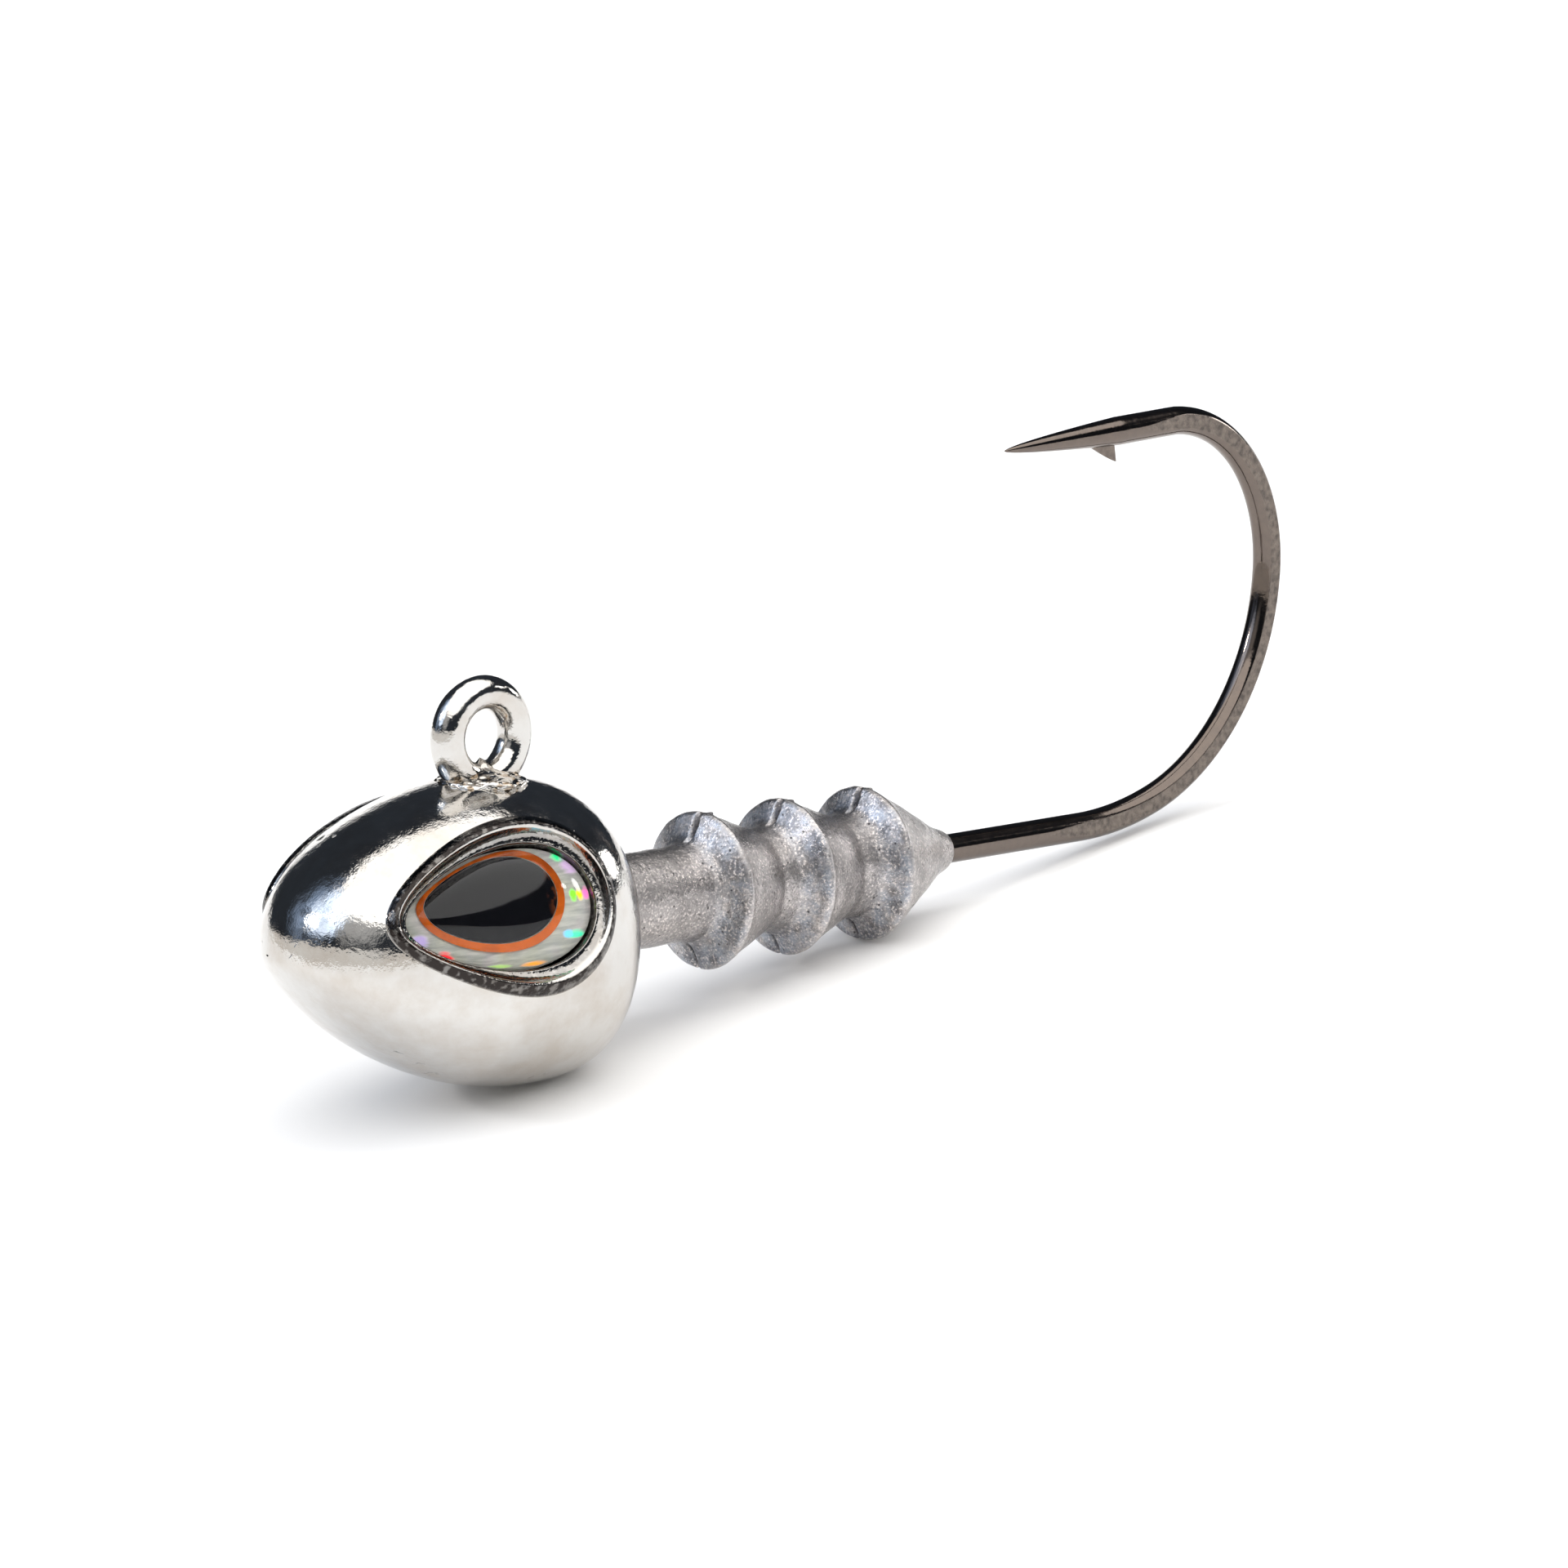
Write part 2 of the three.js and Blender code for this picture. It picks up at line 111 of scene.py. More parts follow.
class JIG_PG_wire(bpy.types.PropertyGroup):
    """Sizes of the hook and its line eye."""

    radius: length("Wire radius", 0.575, "Half the thickness of the hook wire")
    shank: length("Shank end", 26.6, "Where the straight shank ends and the bend starts")
    ring_radius: length("Ring radius", 1.57, "From the line eye's middle to its wire's middle")
    ring_wire: length("Ring wire", 0.634, "Half the thickness of the plated wire of the line eye")
    flat: length("Flat", 0.5, "Half the thickness of the bend where it is pressed flat")
    point: length("Point", 6.4, "Length of the ground point")
    barb: length("Barb", 0.62, "How far the barb stands off the wire")


class JIG_PG_collar(bpy.types.PropertyGroup):
    """Sizes of the bait-keeper collar."""

    radius: length("Shaft radius", 1.8, "Half the thickness of the plain shaft")
    barb: length("Barb radius", 3.0, "Half the width of each barb over its crest")
    first: length("First barb", 5.95, "From the back face to the first crest")
    pitch: length("Pitch", 4.21, "From crest to crest")
    tail: length("Tail", 18.9, "Where the tail cone ends on the shank")
    squeeze: ratio("Squeeze", 0.95, "Width of the collar as a share of its height")


class JIG_PG_eye(bpy.types.PropertyGroup):
    """Sizes and place of the domed eyes."""

    at_x: length("Back", -7.35, "Middle of the eye along the shank")
    at_y: length("Out", 4.02, "Middle of the eye out from the middle plane")
    at_z: length("Up", 1.5, "Middle of the eye over the shank")
    yaw: turn("Yaw", 11, "How far the eye looks towards the nose")
    pitch: turn("Pitch", 21, "How far the eye looks up")
    roll: turn("Roll", 3, "How far the egg's point dips")
    taper: ratio("Taper", 0.22, "How much wider the rear of the egg is")
    point: ratio("Point", 0.14, "How much the front of the egg is drawn to a point")


class JIG_PG_finish(bpy.types.PropertyGroup):
    """Colours of the finishes."""

    chrome: colour("Chrome", (0.62, 0.605, 0.58), "Bright plate of the head and the line eye")
    lead: colour("Bare lead", (0.50, 0.468, 0.455), "Cast lead of the collar")
    nickel: colour("Black nickel", (0.165, 0.135, 0.116), "Smoky plate of the hook")
    orange: colour("Orange ink", (0.80, 0.16, 0.015), "Ring printed round the pupil")
    floor: colour("Floor", (0.93, 0.93, 0.93), "Floor of the studio")


class JIG_PG_stage(bpy.types.PropertyGroup):
    """Camera and lights."""

    azimuth: turn("Azimuth", -42.49, "Direction that the camera stands in")
    elevation: turn("Elevation", 15.924, "How far the camera looks down")
    lean: turn("Lean", -6.149, "How far the camera is turned about its own line of sight")
    distance: length("Distance", 202.03, "From the camera to the point that it looks at")
    lens: FloatProperty(name="Lens", description="Focal length in millimetres", default=123.03)
    overhead: ratio("Overhead light", 1.95, "Strength of the soft light overhead")
    fill: ratio("Fill light", 0.34, "Strength of the even light that lifts the shadows")
    key: ratio("Key light", 0.6, "Strength of the light that draws the shadows")


GROUPS = {
    "jig_casting": JIG_PG_casting,
    "jig_wire": JIG_PG_wire,
    "jig_collar": JIG_PG_collar,
    "jig_eye": JIG_PG_eye,
    "jig_finish": JIG_PG_finish,
    "jig_stage": JIG_PG_stage,
}


# ---- meshes ----


def deselect():
    bpy.ops.object.select_all(action="DESELECT")


def choose(*pieces):
    """Selects these pieces only, with the first one active."""
    deselect()
    for piece in pieces:
        piece.select_set(True)
    bpy.context.view_layer.objects.active = pieces[0]


def points_of(piece):
    place = np.empty(len(piece.data.vertices) * 3)
    piece.data.vertices.foreach_get("co", place)
    return place.reshape(-1, 3)


def move_points(piece, place):
    piece.data.vertices.foreach_set("co", np.asarray(place, dtype=np.float32).ravel())
    piece.data.update()


def paint(piece, name, values):
    """Keeps one number for each point, for a material to read."""
    layer = piece.data.attributes.new(name, "FLOAT", "POINT")
    layer.data.foreach_set("value", np.asarray(values, dtype=np.float32))


def wrap(name, first, rings, last):
    """A sphere with its two poles and its rings moved to the given places."""
    count, segments, _ = rings.shape
    deselect()
    bpy.ops.mesh.primitive_uv_sphere_add(segments=segments, ring_count=count + 1, radius=1)
    piece = bpy.context.object
    piece.name = name
    unit = points_of(piece)
    ring = np.rint(np.arccos(np.clip(unit[:, 2], -1, 1)) / math.pi * (count + 1)).astype(int)
    share = np.arctan2(unit[:, 1], unit[:, 0]) / (2 * math.pi)
    step = np.rint(share * segments).astype(int) % segments
    inner = (ring > 0) & (ring <= count)
    place = np.empty_like(unit)
    place[inner] = rings[ring[inner] - 1, step[inner]]
    place[ring == 0] = first
    place[ring > count] = last
    move_points(piece, place)
    face_out(piece)
    return piece


def face_out(piece):
    choose(piece)
    bpy.ops.object.mode_set(mode="EDIT")
    bpy.ops.mesh.select_all(action="SELECT")
    bpy.ops.mesh.normals_make_consistent(inside=False)
    bpy.ops.object.mode_set(mode="OBJECT")


def join(*pieces):
    choose(*pieces)
    bpy.ops.object.join()
    return bpy.context.object


def settle(piece, material, *, stands_for=(), crease=None):
    """Lays a piece drawn in the shank frame in its place, and finishes it."""
    piece.data.transform(SHANK)
    piece.data.materials.clear()
    piece.data.materials.append(material)
    choose(piece)
    if crease is None:
        bpy.ops.object.shade_smooth()
    else:
        bpy.ops.object.shade_smooth_by_angle(angle=math.radians(crease))
    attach(piece, "root")
    if stands_for:
        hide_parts(*stands_for)


def angles(segments):
    return np.arange(segments) * (2 * math.pi / segments)


def run_along(x, y):
    """Length gone at each point of a line."""
    return np.concatenate(([0], np.cumsum(np.hypot(np.diff(x), np.diff(y)))))


def soften(rows, rounds):
    """Each row evened out along its length, with its two ends kept."""
    for _ in range(rounds):
        rows[:, 1:-1] = (rows[:, :-2] + 2 * rows[:, 1:-1] + rows[:, 2:]) / 4
    return rows


def lumps(place, size, seed):
    """Smooth noise from -1 to 1 at each point."""
    offset = Vector((seed * 3.7, seed * 1.3, seed * 7.9))
    return np.array([noise.noise(Vector(p) / size + offset) for p in place])


# ---- outline of the head ----

# Widest station, how round the nose half is, how blunt its tip is, how square the shoulder is, and
# the share of the reach left at the back face
CROWN = (-5.9 * MM, 1.35, 2.3, 3.4, 0.42)
BELLY = (-3.7 * MM, 2.0, 1.22, 2.8, 0.74)
CHEEK = (-6.5 * MM, 2.0, 2.0, 3.3, 0.45)
TINY = 1e-9  # keeps a division off zero at the tip


def swell(outline, x, nose):
    """Share of an outline's full reach at station x."""
    widest, roundness, blunt, shoulder, left = outline
    front = np.clip((widest - x) / (widest + nose), 0, 1)
    ahead = np.power(np.maximum(1 - np.power(front, roundness), 0), 1 / blunt)
    run = -widest / (1 - left**shoulder) ** (1 / shoulder)
    rear = np.clip((x - widest) / run, 0, 1)
    behind = np.power(np.maximum(1 - np.power(rear, shoulder), 0), 1 / shoulder)
    return np.where(x <= widest, ahead, behind)


def head_reach(casting, x, z):
    """Reach of the section outwards and up or down at station x."""
    side = casting.cheek * swell(CHEEK, x, casting.nose)
    up = casting.crown * swell(CROWN, x, casting.nose)
    down = casting.belly * swell(BELLY, x, casting.nose)
    return side, np.where(z >= 0, up, down)


def inside_head(casting, place):
    """True for each point inside the plain bullet."""
    x, y, z = place[..., 0], place[..., 1], place[..., 2] - casting.axis_z
    side, tall = head_reach(casting, x, z)
    power = casting.squareness
    share = np.power(np.abs(y) / (side + TINY), power) + np.power(np.abs(z) / (tall + TINY), power)
    return (share < 1) & (x > -casting.nose) & (x < 0)


# ---- the eyes' own frame ----

# Half length and half width of each outline
DOME = np.array((3.72, 2.12)) * MM
BEAD = np.array((4.62, 3.24)) * MM
IRIS = np.array((2.76, 1.55)) * MM
PUPIL = np.array((2.46, 1.26)) * MM
PRINT_AT = np.array((0.28, 0.32)) * MM  # middle of the prints, towards the nose and up
# Heights over the eye's plane
SOCKET_FLOOR = -0.6 * MM
FILM = (-0.44 * MM, -0.34 * MM)
INK = (-0.31 * MM, -0.26 * MM)
RESIN_BASE = -0.38 * MM
RESIN_TOP = 1.17 * MM
SKIN_SEARCH = 4 * MM
HALVINGS = 30  # rounds of each search by halves


def eye_frame(eye, side):
    """Eye frame in the shank frame: x along the egg, y up the cheek, z outwards."""
    back = Vector((math.cos(eye.yaw), side * math.sin(eye.yaw), 0))
    out = Vector((-math.sin(eye.yaw), side * math.cos(eye.yaw), 0)) * math.cos(eye.pitch)
    out += Vector((0, 0, math.sin(eye.pitch)))
    along = back * -side
    up = out.cross(along)
    base = Matrix((along, up, out)).transposed().to_4x4()
    base.translation = (eye.at_x, side * eye.at_y, eye.at_z)
    return base @ Matrix.Rotation(-side * eye.roll, 4, "Z")


def to_frame(matrix, place):
    """Points moved by a matrix."""
    m = np.array(matrix)
    return place @ m[:3, :3].T + m[:3, 3]


def egg_width(eye, side, x):
    """Width of the egg at a share x of its length, as a share of a plain ellipse's."""
    rear = -side * np.clip(x, -1, 1)
    return (1 + eye.taper * rear) * (1 - eye.point * ((1 - rear) / 2) ** 2)


def egg(size, side, eye, turned, share=1.0):
    """Points of an egg outline, with its narrow end towards the nose."""
    x = share * np.cos(turned)
    y = share * np.sin(turned)
    return size[0] * x, size[1] * y * egg_width(eye, side, x)


def egg_band(place, side, eye):
    """0 on the dome's outline, 1 on the bead's outline, more outside and less inside."""
    low = np.full(len(place), -2.0)
    high = np.full(len(place), 6.0)
    for _ in range(HALVINGS):
        band = (low + high) / 2
        wide = DOME[1] + band * (BEAD[1] - DOME[1])
        x = place[:, 0] / (DOME[0] + band * (BEAD[0] - DOME[0]))
        y = place[:, 1] / (wide * egg_width(eye, side, x))
        outside = x * x + y * y > 1
        low = np.where(outside, band, low)
        high = np.where(outside, high, band)
    return (low + high) / 2


def skin_height(casting, eye_place, a, b):
    """Height over the eye's plane at which the plain bullet's skin lies."""
    low = np.full(a.shape, -SKIN_SEARCH)
    high = np.full(a.shape, SKIN_SEARCH)
    for _ in range(HALVINGS):
        middle = (low + high) / 2
        place = to_frame(eye_place, np.stack((a, b, middle), axis=-1))
        inside = inside_head(casting, place)
        low = np.where(inside, middle, low)
        high = np.where(inside, high, middle)
    return (low + high) / 2


# ---- lead head ----

SIDE_SHARE = 0.86  # of the head's rings, the rest cross the flat back face


def head_stations(casting):
    """Stations of the head's rings, even along its outline, and their share of the full reach."""
    x = -casting.nose * (1 - np.linspace(0, 1, 4000) ** 2)
    reach = casting.cheek * swell(CHEEK, x, casting.nose)
    run = run_along(x, reach)
    side_rings = int(casting.rings * SIDE_SHARE)
    side = np.interp(np.linspace(0, run[-1], side_rings + 1)[1:], run, x)
    back_rings = casting.rings - 1 - side_rings
    face = np.linspace(1, 0, back_rings + 2)[1:-1]
    share = np.concatenate((np.ones(side_rings), face))
    return np.concatenate((side, np.zeros(back_rings))), share


# Nicks and pits of the casting: x, y, -1 below or 1 above, radius, depth, in millimetres
DENTS = (
    (-10.1, -1.7, -1, 0.30, 0.10),
    (-9.2, -1.9, -1, 0.26, 0.08),
    (-8.3, -1.6, -1, 0.34, 0.09),
    (-7.4, -2.3, -1, 0.16, 0.06),
    (-4.4, -3.0, -1, 0.14, 0.07),
    (-4.9, -2.9, -1, 0.10, 0.05),
    (-10.6, 1.9, 1, 0.22, 0.06),
    (-3.1, 2.6, 1, 0.18, 0.06),
)
# The skin round an eye that is pushed down under its socket's cup
SUNK_BAND = 0.78
SUNK_DEPTH = -1.6 * MM
NEAR_EYE = np.array((6, 5, 3.5)) * MM


def bullet(casting):
    """The plain head with its nicks and the hollows that the sockets sit in."""
    x, share = head_stations(casting)
    turned = angles(casting.segments)
    up = np.cos(turned)
    out = np.sin(turned)
    power = 2 / casting.squareness
    up = np.sign(up) * np.abs(up) ** power
    out = np.sign(out) * np.abs(out) ** power
    reach, tall = head_reach(casting, x[:, None], up[None, :])
    rings = np.empty((len(x), casting.segments, 3))
    rings[..., 0] = x[:, None]
    rings[..., 1] = reach * out[None, :] * share[:, None]
    rings[..., 2] = casting.axis_z + tall * up[None, :] * share[:, None]
    piece = wrap("head_skin", (-casting.nose, 0, casting.axis_z), rings, (0, 0, casting.axis_z))
    place = points_of(piece)
    for dent_x, dent_y, half, radius, depth in DENTS:
        spot = place[:, 0:2] / MM - (dent_x, dent_y)
        near = np.clip(1 - np.hypot(spot[:, 0], spot[:, 1]) / radius, 0, 1)
        near = near * (np.sign(place[:, 2] - casting.axis_z) == half)
        place[:, 2] -= half * depth * MM * near * near * (3 - 2 * near)
    eye = bpy.context.scene.jig_eye
    for side in CHEEKS.values():
        seat = eye_frame(eye, side)
        local = to_frame(seat.inverted(), place)
        near = (np.abs(local[:, 0]) < NEAR_EYE[0]) & (np.abs(local[:, 1]) < NEAR_EYE[1])
        near &= local[:, 2] > -NEAR_EYE[2]
        band = np.full(len(place), np.inf)
        band[near] = egg_band(local[near], side, eye)
        sunk = band < SUNK_BAND
        local[sunk, 2] = np.minimum(local[sunk, 2], SUNK_DEPTH)
        place[sunk] = to_frame(seat, local[sunk])
    move_points(piece, place)
    return piece


# Stations across the bead and the socket: band, share of the cheek's skin, of the bead's crest and
# of the lip over the dome's edge, and a rise in millimetres
SOCKET_STATIONS = (
    (1.20, 1, 0, 0, -0.60),
    (1.06, 1, 0, 0, -0.22),
    (1.00, 1, 0, 0, 0.03),
    (0.95, 0.85, 0.15, 0, 0.04),
    (0.86, 0.5, 0.5, 0, 0.02),
    (0.76, 0.15, 0.85, 0, 0.00),
    (0.68, 0, 1, 0, 0.00),
    (0.61, 0, 1, 0, 0.00),
    (0.55, 0, 0.85, 0.15, 0.00),
    (0.47, 0, 0.5, 0.5, -0.03),
    (0.38, 0, 0.24, 0.76, -0.05),
    (0.24, 0, 0.06, 0.94, -0.03),
    (0.14, 0, 0, 1, 0.00),
    (0.10, 0, 0, 1, -0.10),
    (0.08, 0, 0, 0, -0.45),
    (0.07, 0, 0, 0, -0.60),
)
# Painted shade, with some tarnish: how far the plate is darkened at each band across the bead and
# the socket
GROOVE_BANDS = (0.09, 0.12, 0.20, 0.44, 0.52, 0.63, 0.69, 0.97, 1.01)
GROOVE_SHADE_AND_TARNISH = (1.0, 0.7, 0.45, 0.45, 0.0, 0.0, 1.0, 1.0, 0.0)
SOCKET_LIP = 0.12 * MM
LEAST_CREST = 0.22 * MM
CREST_BAND = 0.64
SOCKET_RINGS = 60
SOCKET_SEGMENTS = 200
CUP_UNDER = -2.2 * MM


def socket(casting, eye, word, side):
    """Bead, bowl and floor of one eye socket, as a closed cup let into the cheek."""
    table = np.array(SOCKET_STATIONS)
    run = np.linspace(0, len(table) - 1, SOCKET_RINGS)
    stations = [np.interp(run, np.arange(len(table)), column) for column in table.T]
    stations = soften(np.stack(stations), 3)
    turned = angles(SOCKET_SEGMENTS)
    seat = eye_frame(eye, side)

    def outline(band):
        return egg(DOME + band * (BEAD - DOME), side, eye, turned)

    crest = skin_height(casting, seat, *outline(CREST_BAND))
    crest = np.maximum(crest + casting.bead, LEAST_CREST)
    rings = []
    for band, skin_share, crest_share, lip_share, rise in stations.T:
        a, b = outline(band)
        skin = skin_height(casting, seat, a, b)
        height = skin_share * skin + crest_share * crest + lip_share * SOCKET_LIP + rise * MM
        rings.append(np.stack((a, b, height), axis=-1))
    a, b = egg(DOME * 0.5, side, eye, turned)
    rings.append(np.stack((a, b, np.full(SOCKET_SEGMENTS, SOCKET_FLOOR)), axis=-1))
    cup = wrap("socket_" + word, (0, 0, CUP_UNDER), np.array(rings), (0, 0, SOCKET_FLOOR))
    place = points_of(cup)
    # painted shade with some tarnish, laid out by band across the bead and the socket
    paint(cup, "groove_shade", np.interp(egg_band(place, side, eye), GROOVE_BANDS, GROOVE_SHADE_AND_TARNISH))
    move_points(cup, to_frame(seat, place))
    return cup


MOUND_SIZE = np.array((1.65, 1.55, 0.66)) * MM
MOUND_GRAIN = ((0.55, 1, 0.16), (0.26, 2, 0.09), (0.12, 3, 0.035))  # size, seed, height
MOUND_WAIST = 0.35 * MM  # how far the lead climbs the wire


def mound(casting, wire_foot):
    """Rough lead and plate that crept up round the foot of the line eye."""
    skin = casting.axis_z + casting.crown * float(swell(CROWN, np.array(wire_foot), casting.nose))
    deselect()
    bpy.ops.mesh.primitive_uv_sphere_add(segments=124, ring_count=88, radius=1)
    piece = bpy.context.object
    piece.name = "mound"
    unit = points_of(piece)
    grain = sum(lumps(unit, size, seed) * height for size, seed, height in MOUND_GRAIN)
    place = unit * (1 + grain[:, None]) * MOUND_SIZE
    place += (wire_foot - 0.15 * MM, -0.1 * MM, skin - 0.25 * MM)
    waist = np.clip(1 - np.hypot(unit[:, 0], unit[:, 1]) / 0.5, 0, 1)
    place[:, 2] += waist * waist * MOUND_WAIST * (unit[:, 2] > 0)
    move_points(piece, place)
    return piece


class JIG_OT_cast_head(bpy.types.Operator):
    """Cast the plated lead head with its eye sockets"""

    bl_idname = "jig.cast_head"
    bl_label = "Cast head"
    bl_options = {"REGISTER", "UNDO"}

    def execute(self, context):
        scene = context.scene
        casting = scene.jig_casting
        skin = bullet(casting)
        cups = [socket(casting, scene.jig_eye, word, side) for word, side in CHEEKS.items()]
        foot = mound(casting, RING_AT[0])
        paint(foot, "rough_cast", np.ones(len(foot.data.vertices)))
        head = join(skin, *cups, foot)
        head.name = "head_shell"
        plate = chrome_plate("head_plate", scene.jig_finish)
        settle(head, plate, stands_for=["head_casting"])
        return {"FINISHED"}


# ---- hook and line eye ----

RING_AT = (-4.78 * MM, 6.93 * MM)  # middle of the line eye, in x and z
NECK_TOP = 3.3 * MM  # where the hook's wire ends inside the lead
NECK_FOOT = 3.4 * MM  # where the line eye's neck starts
NECK_BEND = 1.6 * MM
BEND_ARCS = ((14.4, 16.5), (9.7, 70.5), (6.6, 33.5), (5.8, 59.5))  # millimetres and degrees
POINT_STEPS = 70
HOOK_SEGMENTS = 64
SPEAR_DROP = math.radians(3.4)
SPEAR_LEAD = 3.4 * MM
POINT_OGIVE = 0.6
BARB_BACK = 4.55 * MM
BARB_LENGTH = 1.45 * MM
BARB_THICK = 0.52 * MM
BARB_TILT = 0.3 * MM
# The flats are pressed from here on the shank, over a ramp, to so far from the tip
FLAT_FROM = 27.0 * MM
FLAT_RAMP = 2.6 * MM
FLAT_TO = 7.4 * MM


def wire_line(wire):
    """Middle line of the hook from inside the head to the tip: points, headings and radii."""
    places = []
    headings = []

    def straight(x, z, heading, run, count):
        for i in range(1, count + 1):
            gone = run * i / count
            places.append((x + math.cos(heading) * gone, z + math.sin(heading) * gone))
            headings.append(heading)

    def arc(x, z, heading, radius, sweep, count):
        cx = x - radius * math.sin(heading)
        cz = z + radius * math.cos(heading)
        for i in range(1, count + 1):
            now = heading + sweep * i / count
            places.append((cx + radius * math.sin(now), cz - radius * math.cos(now)))
            headings.append(now)

    straight(RING_AT[0], NECK_TOP, -math.pi / 2, NECK_TOP - NECK_BEND, 6)
    arc(*places[-1], -math.pi / 2, NECK_BEND, math.pi / 2, 12)
    straight(*places[-1], 0, wire.shank - places[-1][0], 60)
    for radius, degrees in BEND_ARCS:
        sweep = math.radians(degrees)
        arc(*places[-1], headings[-1], radius * MM, sweep, max(8, int(degrees * 1.1)))
    heading = math.pi + SPEAR_DROP
    straight(*places[-1], heading, SPEAR_LEAD, 16)
    ground = len(places)
    straight(*places[-1], heading, wire.point, POINT_STEPS)
    places = np.array(places)
    radii = np.full(len(places), wire.radius)
    share = np.linspace(0, 1, POINT_STEPS + 1)[1:]
    radii[ground:] = wire.radius * np.power(1 - share, POINT_OGIVE)
    return places, np.array(headings), radii


def hook_wire(wire):
    """The bent wire with its ground point and its pressed flats."""
    places, headings, radii = wire_line(wire)
    turned = angles(HOOK_SEGMENTS)
    rings = np.empty((len(places) - 1, HOOK_SEGMENTS, 3))
    outwards = np.stack((np.sin(headings), np.zeros(len(headings)), -np.cos(headings)), axis=-1)
    for i in range(len(places) - 1):
        ring = np.outer(np.cos(turned), outwards[i]) + np.outer(np.sin(turned), (0, 1, 0))
        rings[i] = ring * radii[i] + (places[i][0], 0, places[i][1])
    flat = np.clip((places[:-1, 0] - FLAT_FROM + FLAT_RAMP) / FLAT_RAMP, 0, 1)
    bend = np.arange(len(flat)) > np.argmax(places[:-1, 0])
    from_tip = np.hypot(*(places[:-1] - places[-1]).T)
    flat[bend] = np.clip((from_tip[bend] - FLAT_TO) / FLAT_RAMP, 0, 1)
    limit = wire.radius + (wire.flat - wire.radius) * (flat * flat * (3 - 2 * flat))
    pressed = np.abs(rings[..., 1]) > limit[:, None]
    rings[..., 1] = np.clip(rings[..., 1], -limit[:, None], limit[:, None])
    first = (RING_AT[0], 0, NECK_FOOT)
    tip = (places[-1][0], 0, places[-1][1])
    piece = wrap("hook_wire", first, rings, tip)
    known = {tuple(np.round(p, 8)): f for p, f in zip(rings.reshape(-1, 3), pressed.ravel())}
    paint(piece, "pressed", [float(known.get(tuple(np.round(p, 8)), 0)) for p in points_of(piece)])
    return piece


def hook_barb(wire):
    """Barb cut up from the inner side of the point, wedge-shaped and sharp."""
    places, headings, _ = wire_line(wire)
    along = np.array((math.cos(headings[-1]), 0, math.sin(headings[-1])))
    inwards = np.array((-along[2], 0, along[0]))
    root = np.array((places[-1][0], 0, places[-1][1])) - along * BARB_BACK
    deselect()
    bpy.ops.mesh.primitive_cube_add(size=1)
    piece = bpy.context.object
    piece.name = "hook_barb"
    bpy.ops.object.mode_set(mode="EDIT")
    bpy.ops.mesh.subdivide(number_cuts=11)
    bpy.ops.object.mode_set(mode="OBJECT")
    unit = points_of(piece) + 0.5
    back = unit[:, 0]
    rise = unit[:, 2]
    stretch = BARB_LENGTH * (1 - rise) ** 0.85
    x = BARB_LENGTH - stretch * (1 - back) + BARB_TILT * rise
    z = wire.radius * 0.45 + (wire.radius * 0.55 + wire.barb) * rise
    y = (unit[:, 1] - 0.5) * BARB_THICK * (1 - 0.72 * rise) * (0.25 + 0.75 * back)
    place = root - np.outer(x, along) + np.outer(z, inwards)
    place[:, 1] += y
    move_points(piece, place)
    face_out(piece)
    return piece


class JIG_OT_forge_hook(bpy.types.Operator):
    """Bend, press and sharpen the hook"""

    bl_idname = "jig.forge_hook"
    bl_label = "Forge hook"
    bl_options = {"REGISTER", "UNDO"}

    def execute(self, context):
        scene = context.scene
        wire = hook_wire(scene.jig_wire)
        barb = hook_barb(scene.jig_wire)
        paint(barb, "pressed", np.full(len(barb.data.vertices), 0.5))
        hook = join(wire, barb)
        hook.name = "forged_hook"
        nickel = black_nickel(scene.jig_finish)
        settle(hook, nickel, stands_for=["hook"], crease=17)
        return {"FINISHED"}


RING_STEPS = 144
RING_SEGMENTS = 48
BAR_STEPS = 24
WIRE_END_RADIUS = 0.6 * MM
# The end of the wire that closes the ring: its foot and its tip from the ring's x, at heights in z
WIRE_END = ((RING_AT[0] - 0.55 * MM, 4.6 * MM), (RING_AT[0] - 1.28 * MM, 5.82 * MM))


def bar(name, foot, top, radius, round_from=1.0):
    """A straight piece of wire, rounded off at its top from a share of its length on."""
    run = np.linspace(0, 1, BAR_STEPS)
    thick = np.ones(BAR_STEPS)
    if round_from < 1:
        off = np.clip((run - round_from) / (1 - round_from), 0, 1)
        thick = np.maximum(np.sqrt(np.clip(1 - off**2, 0.0, 1)), 0.04)
    line = np.outer(1 - run, foot) + np.outer(run, top)
    heading = np.array(top) - np.array(foot)
    heading = heading / np.hypot(*heading)
    across = np.array((heading[1], 0, -heading[0]))
    turned = angles(RING_SEGMENTS)
    circle = np.outer(np.cos(turned), across) + np.outer(np.sin(turned), (0, 1, 0))
    middle = np.stack((line[:, 0], np.zeros(BAR_STEPS), line[:, 1]), axis=-1)
    rings = middle[:, None, :] + circle[None] * (radius * thick)[:, None, None]
    return wrap(name, middle[0], rings, middle[-1])


